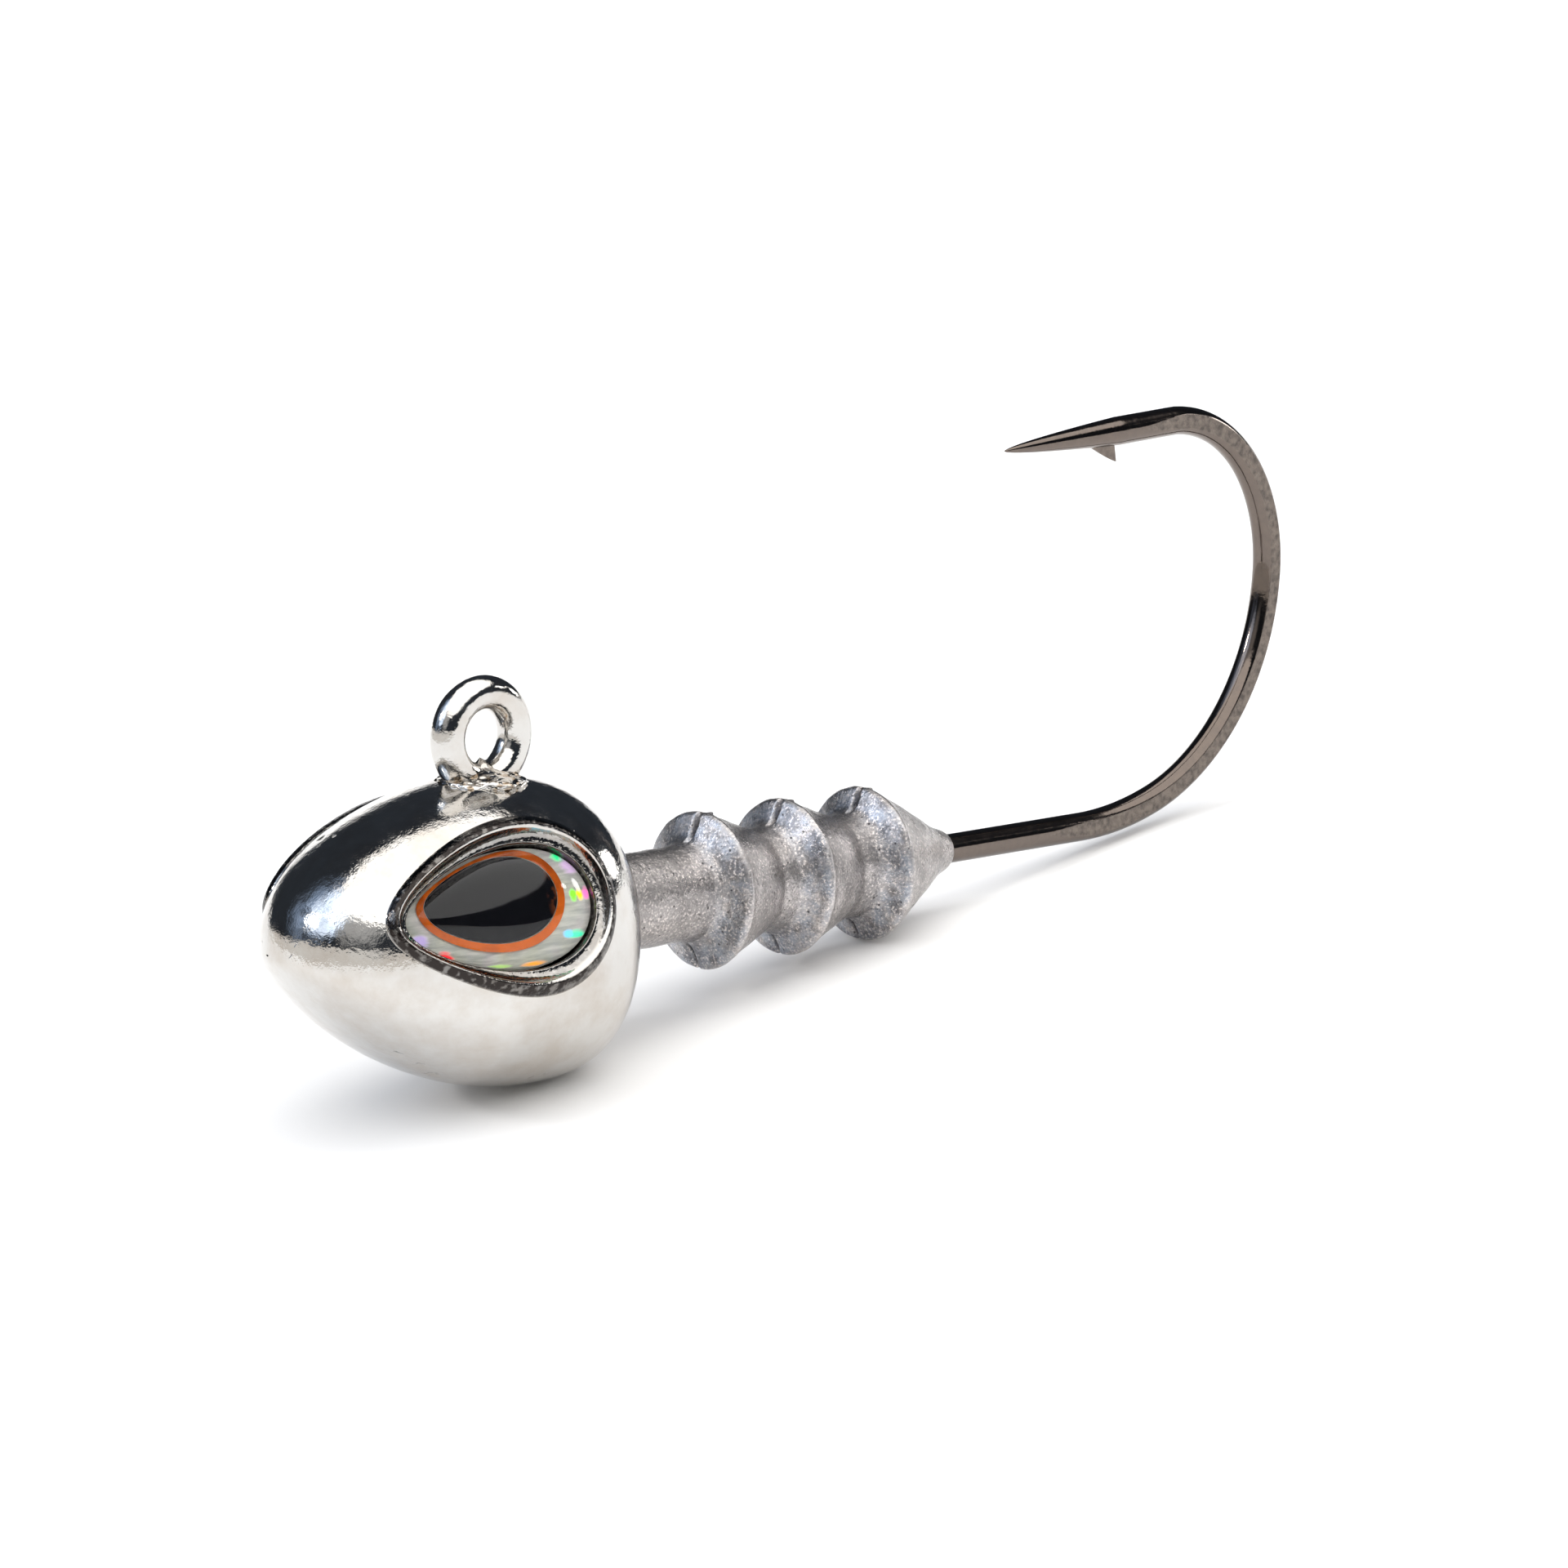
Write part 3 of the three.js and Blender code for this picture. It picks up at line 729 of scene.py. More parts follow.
class JIG_OT_bend_line_eye(bpy.types.Operator):
    """Bend the plated line eye on top of the head"""

    bl_idname = "jig.bend_line_eye"
    bl_label = "Bend line eye"
    bl_options = {"REGISTER", "UNDO"}

    def execute(self, context):
        wire = context.scene.jig_wire
        deselect()
        bpy.ops.mesh.primitive_torus_add(
            major_segments=RING_STEPS, minor_segments=RING_SEGMENTS,
            major_radius=wire.ring_radius, minor_radius=wire.ring_wire,
            rotation=(math.pi / 2, 0, 0),
        )
        ring = bpy.context.object
        ring.name = "line_eye_ring"
        bpy.ops.object.transform_apply(location=False, rotation=True, scale=True)
        move_points(ring, points_of(ring) + (RING_AT[0], 0, RING_AT[1]))
        top = (RING_AT[0], RING_AT[1] - wire.ring_radius)
        neck = bar("neck", (RING_AT[0], NECK_FOOT), top, wire.ring_wire)
        end = bar("wire_end", *WIRE_END, WIRE_END_RADIUS, round_from=0.62)
        eye = join(ring, neck, end)
        eye.name = "line_eye_wire"
        plate = chrome_plate("line_eye_plate", context.scene.jig_finish)
        settle(eye, plate, stands_for=["line_eye"])
        return {"FINISHED"}


# ---- bait-keeper collar ----

BARBS = 3
BARB_ROOT = 1.95 * MM
BARB_LEAN = 0.75 * MM
TAIL_RADIUS = 0.72 * MM
# Stations over one barb: share of the lean and millimetres from the crest, share of the rise and
# millimetres under it, share of crest, share of front face
BARB_STATIONS = (
    (1, -0.8, 0, 0, 0, 0),
    (1, 0, 0.05, 0, 0, 0.3),
    (0.62, 0, 0.24, 0, 0, 1),
    (0.36, 0, 0.58, 0, 0, 1),
    (0, -0.12, 0.90, 0, 0, 1),
    (0, -0.01, 1, 0.03, 0.4, 0.9),
    (0, 0.08, 1, 0, 1, 0.4),
    (0, 0.18, 1, 0.05, 0.3, 0),
    (0, 0.34, 1, 0.16, 0, 0),
)
COLLAR_RINGS = 330
COLLAR_SEGMENTS = 260
SEAM = 0.13 * MM  # half the width of the mould seam's slot
SEAM_DEPTH = 0.6 * MM
SLIT = 0.09 * MM  # half the width of the dark line in the slot
WORN = ((1.6, 5, 0.030), (0.5, 6, 0.016), (0.2, 7, 0.007))  # size, seed, height in millimetres


def collar_outline(collar):
    """Outline of the collar from head to tail: stations, radii, shares of crest and front face."""
    table = [(0.2 * MM, collar.radius * 0.98, 0, 0), (0.5 * MM, collar.radius, 0, 0)]
    for i in range(BARBS):
        crest = collar.first + i * collar.pitch
        root = BARB_ROOT if i else collar.radius
        rise = collar.barb - root
        for lean, ahead, up, under, top, face in BARB_STATIONS:
            x = crest - BARB_LEAN * lean + ahead * MM
            table.append((x, root + rise * up - under * MM, top, face))
    table += [
        (collar.tail - 0.9 * MM, TAIL_RADIUS + 0.34 * MM, 0, 0),
        (collar.tail - 0.1 * MM, TAIL_RADIUS + 0.03 * MM, 0, 0),
        (collar.tail, TAIL_RADIUS - 0.1 * MM, 0, 0),
    ]
    table = np.array(table)
    run = run_along(table[:, 0], table[:, 1])
    even = np.linspace(0, run[-1], COLLAR_RINGS)
    return soften(np.stack([np.interp(even, run, column) for column in table.T]), 2)


class JIG_OT_cast_collar(bpy.types.Operator):
    """Cast the bare lead collar with its three barbs"""

    bl_idname = "jig.cast_collar"
    bl_label = "Cast collar"
    bl_options = {"REGISTER", "UNDO"}

    def execute(self, context):
        collar = context.scene.jig_collar
        x, radius, crest, face = collar_outline(collar)
        open_seam = np.maximum(face, crest)
        turned = angles(COLLAR_SEGMENTS)
        rings = np.empty((len(x), COLLAR_SEGMENTS, 3))
        rings[..., 0] = x[:, None]
        rings[..., 1] = np.outer(radius, np.sin(turned)) * collar.squeeze
        rings[..., 2] = np.outer(radius, np.cos(turned))
        # open mould seam: a slot in each front face and a nick in the crest, top and bottom
        seam = np.clip(1 - np.abs(rings[..., 1]) / SEAM, 0, 1)
        wobble = 1 + 0.4 * np.sin(rings[..., 0] / MM * 9)
        rings[..., 0] += seam * open_seam[:, None] * SEAM_DEPTH * wobble
        rings[..., 2] *= 1 - seam * crest[:, None] * 0.05
        piece = wrap("barbed_collar", (x[0], 0, 0), rings, (x[-1], 0, 0))
        place = points_of(piece)
        outward = place * (0, 1, 1)
        reach = np.linalg.norm(outward, axis=1, keepdims=True)
        worn = sum(lumps(place, size * MM, seed) * height for size, seed, height in WORN)
        place += outward / np.maximum(reach, 0.2 * MM) * (worn * MM)[:, None]
        move_points(piece, place)
        at, reach = place[:, 0], reach[:, 0]
        slit = np.clip(1.4 - np.abs(place[:, 1]) / SLIT, 0, 1)
        paint(piece, "crest", np.interp(at, x, crest) * (reach > 2.7 * MM))
        paint(piece, "front_face", np.interp(at, x, face))
        paint(piece, "seam", slit * np.interp(at, x, open_seam) * (reach > 2.0 * MM))
        lead = bare_lead(context.scene.jig_finish)
        settle(piece, lead, stands_for=["bait_keeper_collar"])
        return {"FINISHED"}


# ---- domed eyes ----


EYE_SEGMENTS = 192
RESIN_EDGE = 0.12 * MM
PRINT_GAP = 0.03 * MM
EYE_CREASE = 40  # degrees


def egg_stack(name, size, profile, eye, side, at=(0, 0)):
    """A closed egg-shaped piece from stations: share of the outline, and height."""
    turned = angles(EYE_SEGMENTS)
    rings = []
    for share, height in profile:
        a, b = egg(size, side, eye, turned, share)
        rings.append(np.stack((a + at[0], b + at[1], np.full(EYE_SEGMENTS, height)), axis=-1))
    piece = wrap(name, (*at, profile[0][1]), np.array(rings), (*at, profile[-1][1]))
    move_points(piece, to_frame(eye_frame(eye, side), points_of(piece)))
    return piece


def layer_profile(low, high, count=10):
    """A thin flat layer with rings enough inside its outline for clean shading."""
    inner = [(i / count, low) for i in range(1, count)]
    thick = high - low
    edge = [(0.995, low), (1, low + thick * 0.3), (1, low + thick * 0.7), (0.995, high)]
    return inner + edge + [(share, high) for share, _ in reversed(inner)]


def dome_profile():
    """Cast resin: a low edge, then a crown that flattens towards the middle."""
    profile = [(i / 8, RESIN_BASE) for i in range(1, 8)]
    profile += [(0.985, RESIN_BASE), (1, RESIN_BASE + 0.05 * MM)]
    tall = RESIN_TOP - RESIN_BASE - RESIN_EDGE
    for i in range(1, 40):
        rise = math.pi / 2 * i / 40
        height = RESIN_BASE + RESIN_EDGE + tall * math.sin(rise)
        profile.append((math.cos(rise) ** 0.9, height))
    return profile


def iris_ring(name, eye, side):
    """The printed ring, open in the middle where the pupil is."""
    deselect()
    bpy.ops.mesh.primitive_torus_add(
        major_segments=EYE_SEGMENTS, minor_segments=4, major_radius=1, minor_radius=0.1
    )
    piece = bpy.context.object
    piece.name = name
    unit = points_of(piece)
    turned = np.arctan2(unit[:, 1], unit[:, 0])
    reach = np.hypot(unit[:, 0], unit[:, 1])
    outer = (reach > 1.0001)[:, None]
    inner = (reach < 0.9999)[:, None]
    hole = PUPIL + PRINT_GAP
    sizes = np.where(outer, IRIS, np.where(inner, hole, (IRIS + PUPIL + PRINT_GAP) / 2))
    a = sizes[:, 0] * np.cos(turned) + PRINT_AT[0] * side
    b = sizes[:, 1] * np.sin(turned) * egg_width(eye, side, np.cos(turned)) + PRINT_AT[1]
    height = np.where(unit[:, 2] < -0.01, INK[0], (INK[0] + INK[1]) / 2)
    height = np.where(unit[:, 2] > 0.01, INK[1], height)
    place = np.stack((a, b, height), axis=-1)
    move_points(piece, to_frame(eye_frame(eye, side), place))
    face_out(piece)
    return piece


class JIG_OT_glue_eyes(bpy.types.Operator):
    """Glue a domed hologram eye in each socket"""

    bl_idname = "jig.glue_eyes"
    bl_label = "Glue eyes"
    bl_options = {"REGISTER", "UNDO"}

    def execute(self, context):
        scene = context.scene
        eye = scene.jig_eye
        resin = clear_resin()
        tape = foam_tape()
        for word, side in CHEEKS.items():
            pad = frame["nodes"]["adhesive_pad_" + word]
            pad.data.materials.clear()
            pad.data.materials.append(tape)
            film = egg_stack("foil_" + word, DOME * 0.992, layer_profile(*FILM), eye, side)
            silver = hologram_film(word, side, eye)
            settle(film, silver,
                   stands_for=["hologram_film_" + word], crease=EYE_CREASE)
            ring = iris_ring("iris_ring_" + word, eye, side)
            orange = orange_ink(word, side, eye, scene.jig_finish)
            settle(ring, orange,
                   stands_for=["iris_print_" + word], crease=EYE_CREASE)
            middle = PRINT_AT * (side, 1)
            pupil = egg_stack("pupil_disc_" + word, PUPIL, layer_profile(*INK), eye, side, middle)
            settle(pupil, black_ink(word, side, eye),
                   stands_for=["pupil_print_" + word], crease=EYE_CREASE)
            dome = egg_stack("dome_" + word, DOME, dome_profile(), eye, side)
            settle(dome, resin, stands_for=["resin_dome_" + word])
        return {"FINISHED"}


# ---- finishes ----


class Nodes:
    """Short words for making the nodes of a material or a world."""

    def __init__(self, owner):
        owner.use_nodes = True
        self.owner = owner
        self.tree = owner.node_tree
        self.shader = self.tree.nodes.get("Principled BSDF")

    def add(self, kind, inputs=None, **settings):
        node = self.tree.nodes.new(kind)
        for key, value in settings.items():
            setattr(node, key, value)
        for key, value in (inputs or {}).items():
            self.feed(node.inputs[key], value)
        return node

    def feed(self, socket, value):
        if isinstance(value, bpy.types.NodeSocket):
            self.tree.links.new(value, socket)
        elif isinstance(value, tuple) and socket.type == "RGBA":
            socket.default_value = (*value, 1)
        else:
            socket.default_value = value

    def set(self, **inputs):
        for key, value in inputs.items():
            self.feed(self.shader.inputs[key.replace("_", " ")], value)

    def here(self):
        return self.add("ShaderNodeTexCoord").outputs["Object"]

    def math(self, operation, a, b):
        return self.add("ShaderNodeMath", {0: a, 1: b}, operation=operation).outputs[0]

    def times(self, a, b):
        return self.math("MULTIPLY", a, b)

    def spread(self, value, low, high, out_low=0.0, out_high=1.0, curve="LINEAR"):
        """A value's range from low to high moved to a new range, cut off outside."""
        inputs = {"Value": value, "From Min": low, "From Max": high,
                  "To Min": out_low, "To Max": out_high}
        return self.add("ShaderNodeMapRange", inputs, interpolation_type=curve).outputs[0]

    def cloud(self, place, scale, detail, roughness=0.5):
        inputs = {"Vector": place, "Scale": scale, "Detail": detail, "Roughness": roughness}
        return self.add("ShaderNodeTexNoise", inputs).outputs[0]

    def noise(self, millimetres, detail=3.0, roughness=0.5):
        """Noise on the piece, with its largest features about this far apart."""
        return self.cloud(self.here(), 1 / (millimetres * MM), detail, roughness)

    def dots(self, millimetres, inner, outer):
        """1 in the middle of scattered cells of this size, 0 further out."""
        inputs = {"Vector": self.here(), "Scale": 1 / (millimetres * MM)}
        far = self.add("ShaderNodeTexVoronoi", inputs).outputs["Distance"]
        return self.spread(far, inner, outer, 1.0, 0.0)

    def painted(self, name):
        return self.add("ShaderNodeAttribute", attribute_name=name).outputs["Fac"]

    def mix(self, share, a, b):
        inputs = {0: share, 6: a, 7: b}
        return self.add("ShaderNodeMix", inputs, data_type="RGBA").outputs[2]

    def coats(self, base, *coats):
        """A colour with more laid over it, each by its share."""
        for share, tone in coats:
            base = self.mix(share, base, tone)
        return base

    def relief(self, *bumps):
        """Bumps laid over each other, each with its height and its depth in millimetres."""
        normal = None
        for height, depth in bumps:
            inputs = {"Height": height, "Distance": depth * MM, "Strength": 1.0}
            if normal is not None:
                inputs["Normal"] = normal
            normal = self.add("ShaderNodeBump", inputs).outputs[0]
        return normal


def new_finish(name):
    return Nodes(bpy.data.materials.new(name))


def chrome_plate(name, finish):
    """Bright plate over a cast skin: orange peel, fine grain, stains, painted shade with some
    tarnish round the eyes, and a few pits.
    """
    n = new_finish(name)
    rough = n.painted("rough_cast")
    groove_shade = n.painted("groove_shade")
    pits = n.dots(1.9, 0.02, 0.05)
    gold = n.times(rough, n.spread(n.noise(0.42, 2.0), 0.52, 0.62))
    # painted shade in the grooves round the eyes, with some tarnish
    shade_and_tarnish = n.times(groove_shade, n.spread(n.noise(0.3, 4.0), 0.36, 0.50, 0.72, 1.0))
    base = n.coats(
        tuple(finish.chrome),
        (n.spread(n.noise(2.2, 6.0, 0.66), 0.42, 0.66), (0.535, 0.495, 0.45)),
        (gold, (0.42, 0.33, 0.24)),
        (shade_and_tarnish, (0.035, 0.03, 0.028)),
        (pits, (0.16, 0.14, 0.13)),
    )
    relief = n.relief(
        (n.noise(1.6, 1.5), 0.022),
        (n.noise(0.40, 3.5, 0.66), 0.017),
        (n.noise(0.11, 2.5, 0.6), 0.0026),
        (pits, -0.05),
        (n.times(n.noise(0.26), rough), 0.028),
        (n.times(groove_shade, n.noise(0.2)), 0.03),
    )
    haze = n.spread(n.noise(0.7, 6.0, 0.65), 0.38, 0.72, 0.05, 0.17)
    n.set(Base_Color=base, Metallic=1.0, Roughness=haze, Normal=relief)
    return n.owner


def bare_lead(finish):
    """Raw cast lead: mottled grey and pitted, lighter along the crests, with painted glints, and
    painted shade and a painted bluish reflection on the front faces.
    """
    n = new_finish("raw_lead")
    face = n.painted("front_face")
    cloud = n.noise(1.3, 5.0, 0.62)
    speck = n.noise(0.10, 4.0, 0.7)
    pits = n.times(n.dots(0.30, 0.07, 0.17), n.spread(n.noise(0.7, 2.0), 0.46, 0.55))
    # on the front faces only: a painted bluish reflection, and painted shade in patches
    blue_reflection = n.times(face, n.spread(n.noise(0.6, 4.0), 0.3, 0.6))
    shade = n.times(face, n.spread(n.noise(0.9, 4.0, 0.65), 0.47, 0.62))
    base = n.coats(
        tuple(finish.lead),
        (n.spread(cloud, 0.36, 0.66), tuple(c * 0.6 for c in finish.lead)),
        (blue_reflection, (0.36, 0.385, 0.435)),
        (n.times(shade, 0.75), (0.13, 0.125, 0.13)),
        # bright specks: painted glints; the dark specks below are grain
        (n.spread(speck, 0.54, 0.62, 0.0, 0.8), (0.86, 0.79, 0.76)),
        (n.spread(speck, 0.45, 0.30, 0.0, 0.8), (0.12, 0.11, 0.115)),
        (n.times(pits, 0.85), (0.07, 0.065, 0.07)),
        # a thin lighter line along the crests
        (n.times(n.painted("crest"), 0.35), (0.74, 0.69, 0.66)),
        (n.times(n.painted("seam"), 0.9), (0.05, 0.048, 0.05)),
    )
    relief = n.relief((n.noise(0.5), 0.035), (speck, 0.022), (pits, -0.05))
    rough = n.spread(cloud, 0.3, 0.7, 0.20, 0.36)
    n.set(Base_Color=base, Metallic=0.95, Roughness=rough, Normal=relief)
    return n.owner


def black_nickel(finish):
    """Smoky plate: glossy on the round of the wire and dull on the pressed flats."""
    n = new_finish("smoky_nickel")
    flat = n.painted("pressed")
    mottle = n.noise(0.28, 4.0, 0.6)
    brown = n.mix(n.spread(mottle, 0.4, 0.66), (0.20, 0.168, 0.143), (0.105, 0.09, 0.081))
    base = n.coats(
        tuple(finish.nickel),
        (n.spread(mottle, 0.35, 0.7, 0.0, 0.5), (0.13, 0.11, 0.10)),
        (flat, brown),
    )
    inputs = {0: flat, 2: n.spread(mottle, 0.3, 0.7, 0.07, 0.14),
              3: n.spread(mottle, 0.3, 0.7, 0.30, 0.42)}
    rough = n.add("ShaderNodeMix", inputs, data_type="FLOAT").outputs[0]
    relief = n.relief((n.noise(0.12), 0.002), (n.noise(0.5, 2.0), 0.006))
    n.set(Base_Color=base, Metallic=1.0, Roughness=rough, Normal=relief)
    return n.owner


def on_eye(n, eye, side):
    """Place on the eye in millimetres, then how far towards the tail and how far up."""
    world = SHANK @ eye_frame(eye, side)
    inputs = {"Vector": n.here(), "Location": world.translation,
              "Rotation": world.to_euler(), "Scale": (MM, MM, MM)}
    place = n.add("ShaderNodeMapping", inputs, vector_type="TEXTURE").outputs[0]
    axes = n.add("ShaderNodeSeparateXYZ", {0: place})
    return place, n.times(axes.outputs[0], float(-side)), axes.outputs[1]


# Painted glints of the film, which also glow: millimetres towards the tail and up, reach along,
# reach up, colour
GLINTS = (
    (2.75, 1.35, 0.42, 0.22, (0.02, 0.95, 0.30)),
    (3.00, 1.05, 0.40, 0.35, (0.55, 0.40, 0.62)),
    (2.82, 0.12, 0.16, 0.22, (0.25, 1.00, 0.05)),
    (3.08, 0.12, 0.15, 0.20, (1.00, 0.75, 0.02)),
    (3.34, 0.14, 0.18, 0.22, (1.00, 0.22, 0.62)),
    (2.70, -1.05, 0.45, 0.14, (0.05, 0.85, 0.45)),
    (2.35, -1.00, 0.22, 0.14, (0.15, 0.62, 0.95)),
    (1.00, -1.75, 0.55, 0.13, (1.00, 0.40, 0.05)),
    (-0.30, -1.70, 0.50, 0.12, (0.45, 0.75, 0.20)),
    (-2.30, -1.15, 0.34, 0.30, (1.00, 0.04, 0.05)),
    (-2.62, -1.35, 0.20, 0.16, (1.00, 0.15, 0.35)),
    (-3.10, -0.50, 0.35, 0.30, (0.42, 0.34, 0.60)),
    (0.20, 1.72, 0.50, 0.12, (0.95, 0.35, 0.10)),
)


def hologram_film(word, side, eye):
    """Silver film with fixed painted glints of colour, and a faint painted glow over the whole
    film.
    """
    n = new_finish("silver_foil_" + word)
    place, along, up = on_eye(n, eye, side)
    streak = n.add("ShaderNodeMapping", {"Vector": place, "Scale": (0.5, 3.2, 1.0)}).outputs[0]
    lines = n.cloud(streak, 2.2, 3.0)
    base = n.mix(n.spread(lines, 0.35, 0.65), (0.92, 0.86, 0.77), (0.56, 0.52, 0.46))
    hue = {"Red": n.cloud(place, 0.9, 1.0), "Green": 0.32, "Blue": 0.6}
    tint = n.add("ShaderNodeCombineColor", hue, mode="HSV").outputs[0]
    base = n.mix(0.28, base, tint)
    fray = n.times(n.math("SUBTRACT", lines, 0.5), 1.6)
    glow = None
    for at_along, at_up, reach_along, reach_up, tone in GLINTS:
        a = n.math("DIVIDE", n.math("SUBTRACT", along, at_along), reach_along)
        b = n.math("DIVIDE", n.math("SUBTRACT", up, at_up), reach_up)
        far = n.math("ADD", n.times(a, a), n.times(b, b))
        spot = n.spread(n.math("ADD", far, fray), 1.15, 0.25)
        base = n.mix(spot, base, tone)
        glow = spot if glow is None else n.math("MAXIMUM", glow, spot)
    # painted light: the glints glow, and the whole film glows faintly
    n.set(Base_Color=base, Roughness=0.5, Specular_IOR_Level=0.0, Emission_Color=base,
          Emission_Strength=n.math("ADD", n.times(glow, 0.75), 0.06))
    return n.owner


def orange_ink(word, side, eye, finish):
    """Translucent orange print, darker where it lies thick, and painted lighter towards the
    bottom.
    """
    n = new_finish("orange_print_" + word)
    place, _, up = on_eye(n, eye, side)
    # painted light: the print is brighter towards the bottom
    low = n.spread(up, 0.6, -1.2)
    cloud = n.cloud(place, 1.6, 4.0)
    base = n.mix(n.spread(cloud, 0.35, 0.65), tuple(finish.orange), (0.46, 0.085, 0.012))
    base = n.mix(n.times(low, 0.6), base, (1.0, 0.20, 0.02))
    n.set(Base_Color=base, Roughness=0.5, Specular_IOR_Level=0.0)
    return n.owner


def black_ink(word, side, eye):
    """Solid black print, with the film's brown shine breaking through at the rear edge."""
    n = new_finish("black_print_" + word)
    place, along, _ = on_eye(n, eye, side)
    rear = n.spread(along, 1.75, 2.5)
    shine = n.times(rear, n.spread(n.cloud(place, 3.4, 4.0), 0.5, 0.62))
    base = n.mix(shine, (0.006, 0.006, 0.008), (0.34, 0.09, 0.02))
    n.set(Base_Color=base, Roughness=0.5, Specular_IOR_Level=0.0)
    return n.owner


def clear_resin():
    """Clear cast resin, very slightly wavy."""
    n = new_finish("cast_resin")
    wave = n.relief((n.noise(2.4, 1.0), 0.002))
    n.set(Base_Color=(0.99, 0.99, 0.985), Roughness=0.01, IOR=1.42,
          Transmission_Weight=1.0, Normal=wave)
    return n.owner


def foam_tape():
    """White sticky pad with a fine open grain."""
    n = new_finish("sticky_pad")
    grain = n.noise(0.12)
    base = n.mix(n.spread(grain, 0.35, 0.65), (0.86, 0.84, 0.79), (0.72, 0.70, 0.64))
    n.set(Base_Color=base, Roughness=0.9, Normal=n.relief((grain, 0.01)))
    return n.owner


# ---- stage ----

AIM = Vector((-2.20, 0, 7.18)) * MM  # what the camera looks at
FLOOR_REACH = 3.0
KEY_FROM = Vector((-1.5, 1.0, 1.25))
KEY_WIDTH = math.radians(7)
WARM = (1, 0.985, 0.96)

WALLS = (0.030, 0.036, 0.046)
TABLE = (0.90, 0.875, 0.84)
TABLE_RISE = 0.30  # how far the table's far edge rises towards the nose's side
TABLE_SIDE = -88
CEILING = (14, 70, 44, 47)  # azimuth, elevation, inner and outer angle of the big soft box
# The other lights: azimuth, elevation, inner and outer angle, colour, and whether it is patchy
WINDOWS = (
    (-124, 43, 4, 36, (0.36, 0.48, 0.70), True),
    (-106, 49, 8, 29, (1.7, 2.0, 2.5), True),
    (-98, 50, 3, 11, (2.3, 2.5, 2.8), False),
    (-66, 40, 2, 24, (0.55, 0.55, 0.55), False),
    (149, 4, 4, 11, (1.5, 1.5, 1.5), False),
    (80, 9, 4.0, 7.0, (9, 9, 9), False),
    (62, 18, 1.5, 3.0, (14, 14, 14), False),
)


def direction(azimuth, elevation):
    """Unit vector: azimuth 0 is -Y and 90 is +X."""
    a = math.radians(azimuth)
    e = math.radians(elevation)
    return Vector((math.sin(a) * math.cos(e), -math.cos(a) * math.cos(e), math.sin(e)))


def studio_world(stage):
    """Soft light: a bright ceiling, dark walls with windows, and a pale table below."""
    world = bpy.data.worlds.new("studio")
    bpy.context.scene.world = world
    n = Nodes(world)
    n.tree.nodes.clear()
    sky = n.add("ShaderNodeTexCoord").outputs["Generated"]

    def facing(azimuth, elevation):
        inputs = {0: sky, 1: direction(azimuth, elevation)}
        return n.add("ShaderNodeVectorMath", inputs, operation="DOT_PRODUCT").outputs["Value"]

    def near(azimuth, elevation, inner, outer):
        """1 within the inner angle of a direction, 0 beyond the outer one."""
        low, high = math.cos(math.radians(outer)), math.cos(math.radians(inner))
        return n.spread(facing(azimuth, elevation), low, high, curve="SMOOTHSTEP")

    def glow(tone, strength=1.0):
        return n.add("ShaderNodeBackground", {"Color": tone, "Strength": strength}).outputs[0]

    def switch(share, a, b):
        return n.add("ShaderNodeMixShader", {0: share, 1: a, 2: b}).outputs[0]

    patchy = n.spread(n.cloud(sky, 5.0, 4.0), 0.33, 0.56, curve="SMOOTHSTEP")
    total = WALLS
    for azimuth, elevation, inner, outer, tone, mottled in WINDOWS:
        share = near(azimuth, elevation, inner, outer)
        if mottled:
            share = n.times(share, patchy)
        total = n.mix(share, total, tone)
    lift = n.times(n.math("MAXIMUM", facing(TABLE_SIDE, 0), 0.0), TABLE_RISE)
    up = n.add("ShaderNodeSeparateXYZ", {0: sky}).outputs[2]
    over = n.math("SUBTRACT", up, lift)
    total = n.mix(n.spread(over, 0.012, -0.012, curve="SMOOTHSTEP"), total, TABLE)
    bright = stage.overhead
    total = n.mix(near(*CEILING), total, (bright, bright * 0.99, bright * 0.975))
    soft = glow(total)
    filled = n.add("ShaderNodeAddShader", {0: soft, 1: glow(WARM, stage.fill)}).outputs[0]
    path = n.add("ShaderNodeLightPath").outputs
    matt = switch(path["Is Diffuse Ray"], soft, filled)
    seen = switch(path["Is Camera Ray"], matt, glow((1, 1, 1)))
    n.add("ShaderNodeOutputWorld", {"Surface": seen})


def pale_floor(finish):
    """Smooth pale card."""
    n = new_finish("pale_floor")
    share = n.spread(n.noise(60, 2.0), 0.3, 0.7, 0.0, 0.3)
    base = n.mix(share, tuple(finish.floor), (0.915, 0.915, 0.92))
    n.set(Base_Color=base, Roughness=0.6, Specular_IOR_Level=0.2)
    return n.owner


def stand_camera(stage):
    """The camera, level first and then leaned about its own line of sight."""
    camera = bpy.data.cameras.new("camera")
    camera.lens = stage.lens
    camera.sensor_width = 36
    camera.clip_start = 0.01
    camera.clip_end = 20
    stand = bpy.data.objects.new("camera", camera)
    bpy.context.scene.collection.objects.link(stand)
    flat = math.cos(stage.elevation)
    right = Vector((math.cos(stage.azimuth), math.sin(stage.azimuth), 0))
    back = Vector((math.sin(stage.azimuth) * flat, -math.cos(stage.azimuth) * flat,
                   math.sin(stage.elevation)))
    level = Matrix((right, back.cross(right), back)).transposed().to_4x4()
    lean = Matrix.Rotation(stage.lean, 4, "Z")
    stand.matrix_world = Matrix.Translation(AIM + back * stage.distance) @ level @ lean
    bpy.context.scene.camera = stand


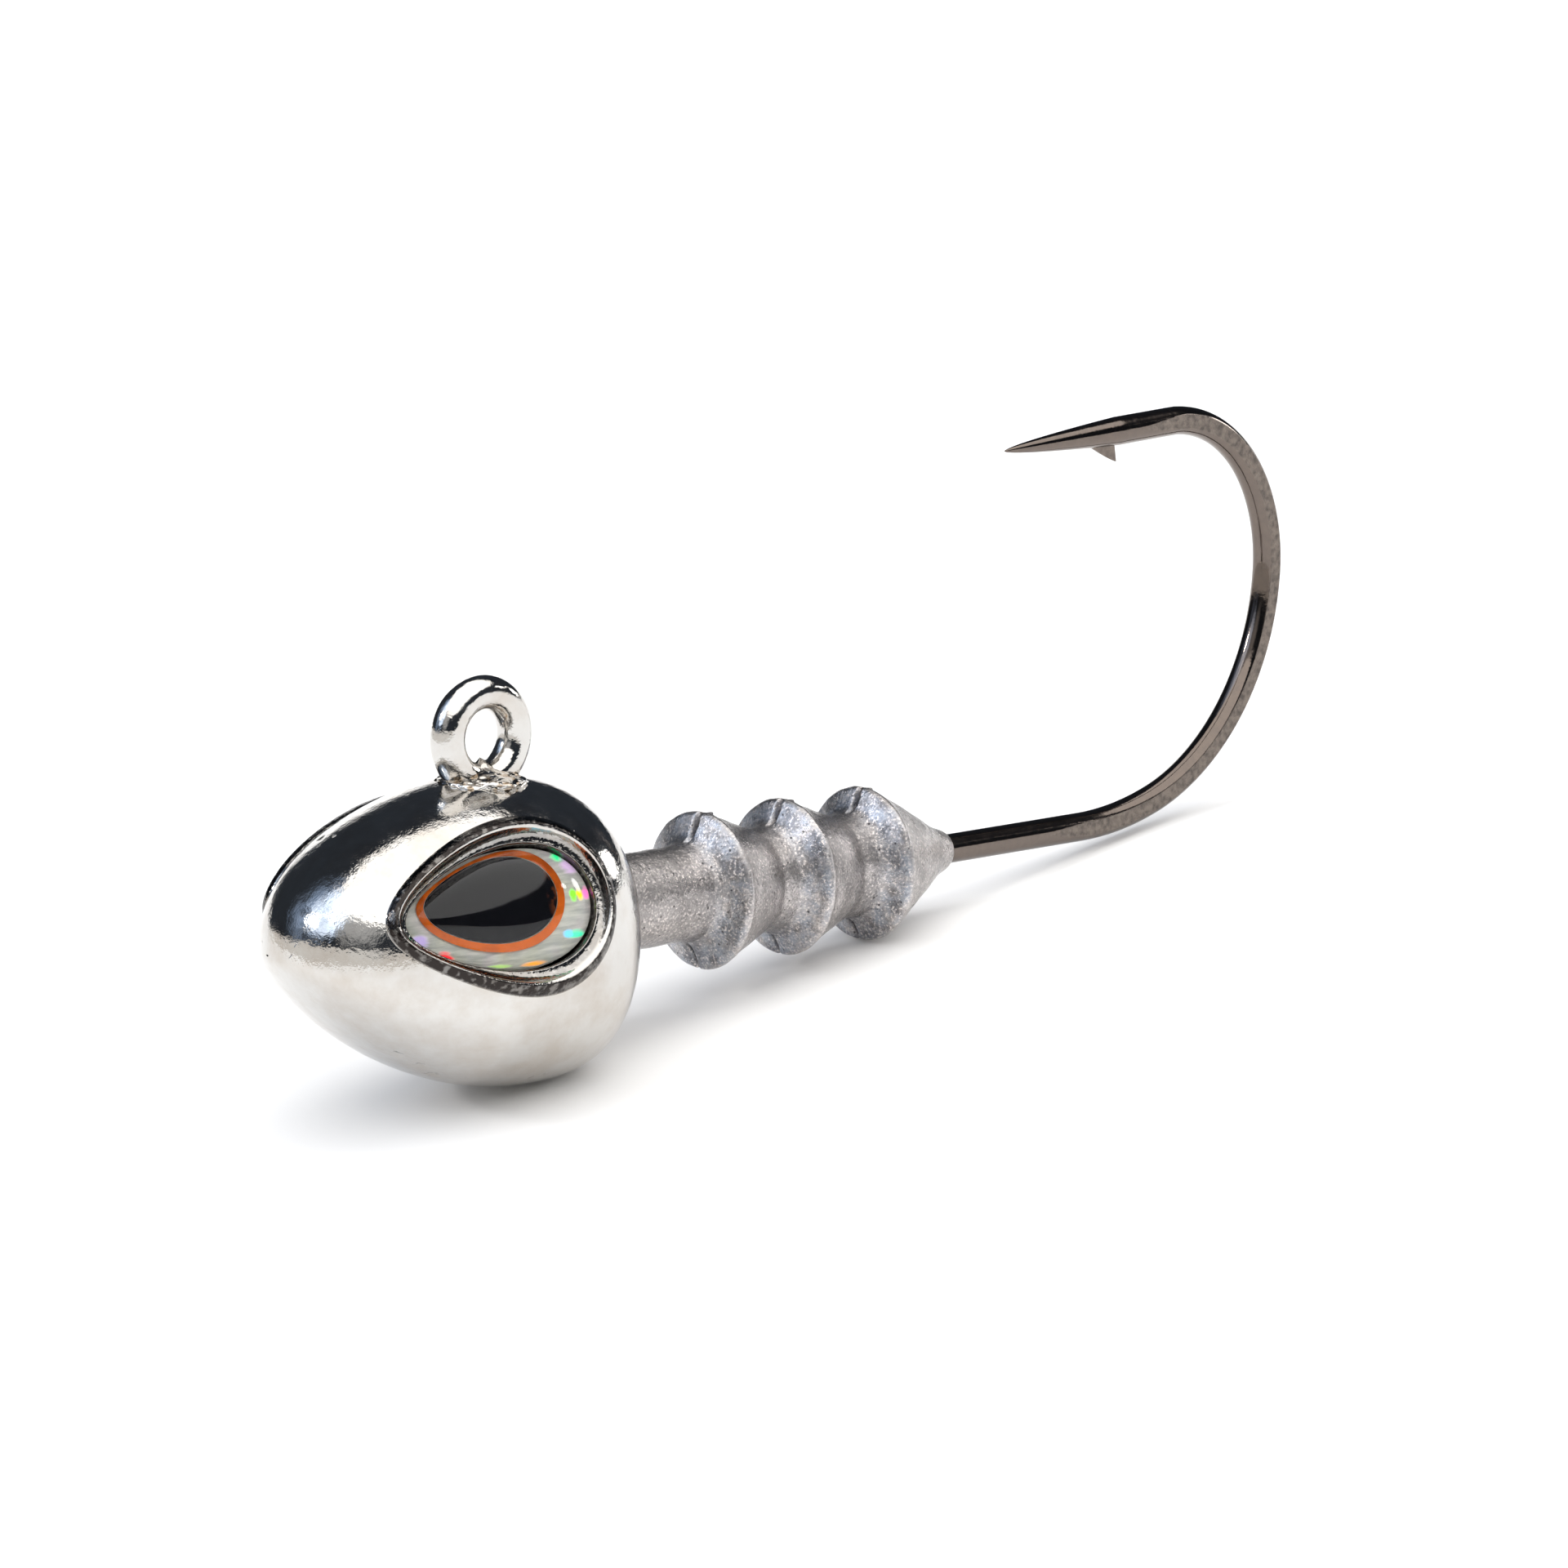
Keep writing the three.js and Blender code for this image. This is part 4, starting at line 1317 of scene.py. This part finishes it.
class JIG_OT_set_stage(bpy.types.Operator):
    """Set the floor, the soft studio light and the camera"""

    bl_idname = "jig.set_stage"
    bl_label = "Set stage"
    bl_options = {"REGISTER", "UNDO"}

    def execute(self, context):
        scene = context.scene
        stage = scene.jig_stage
        deselect()
        bpy.ops.mesh.primitive_plane_add(size=FLOOR_REACH * 2)
        floor = bpy.context.object
        floor.name = "studio_floor"
        floor.data.materials.append(pale_floor(scene.jig_finish))
        studio_world(stage)
        lamp = bpy.data.lights.new("key", "SUN")
        lamp.energy = stage.key
        lamp.angle = KEY_WIDTH
        lamp.color = WARM
        key = bpy.data.objects.new("key", lamp)
        scene.collection.objects.link(key)
        key.rotation_euler = KEY_FROM.to_track_quat("Z", "Y").to_euler()
        stand_camera(stage)
        scene.view_settings.view_transform = "Standard"
        return {"FINISHED"}


class JIG_PT_workshop(bpy.types.Panel):
    """Lists the steps in the order they are run"""

    bl_idname = "JIG_PT_workshop"
    bl_label = "Jig Head"
    bl_space_type = "VIEW_3D"
    bl_region_type = "UI"
    bl_category = "Jig Head"

    def draw(self, context):
        for step in STEPS:
            self.layout.operator(step.bl_idname)
        for name, group in GROUPS.items():
            box = self.layout.box()
            box.label(text=group.__doc__)
            for key in group.__annotations__:
                box.prop(getattr(context.scene, name), key)


STEPS = (
    JIG_OT_set_stage,
    JIG_OT_cast_head,
    JIG_OT_bend_line_eye,
    JIG_OT_forge_hook,
    JIG_OT_cast_collar,
    JIG_OT_glue_eyes,
)


def register():
    for name, group in GROUPS.items():
        bpy.utils.register_class(group)
        setattr(bpy.types.Scene, name, PointerProperty(type=group))
    for kind in (*STEPS, JIG_PT_workshop):
        bpy.utils.register_class(kind)


def unregister():
    for kind in reversed((*STEPS, JIG_PT_workshop)):
        bpy.utils.unregister_class(kind)
    for name, group in reversed(GROUPS.items()):
        delattr(bpy.types.Scene, name)
        bpy.utils.unregister_class(group)


def main():
    register()
    bpy.ops.jig.set_stage()
    bpy.ops.jig.cast_head()
    bpy.ops.jig.bend_line_eye()
    bpy.ops.jig.forge_hook()
    bpy.ops.jig.cast_collar()
    bpy.ops.jig.glue_eyes()


if __name__ == "__main__":
    main()
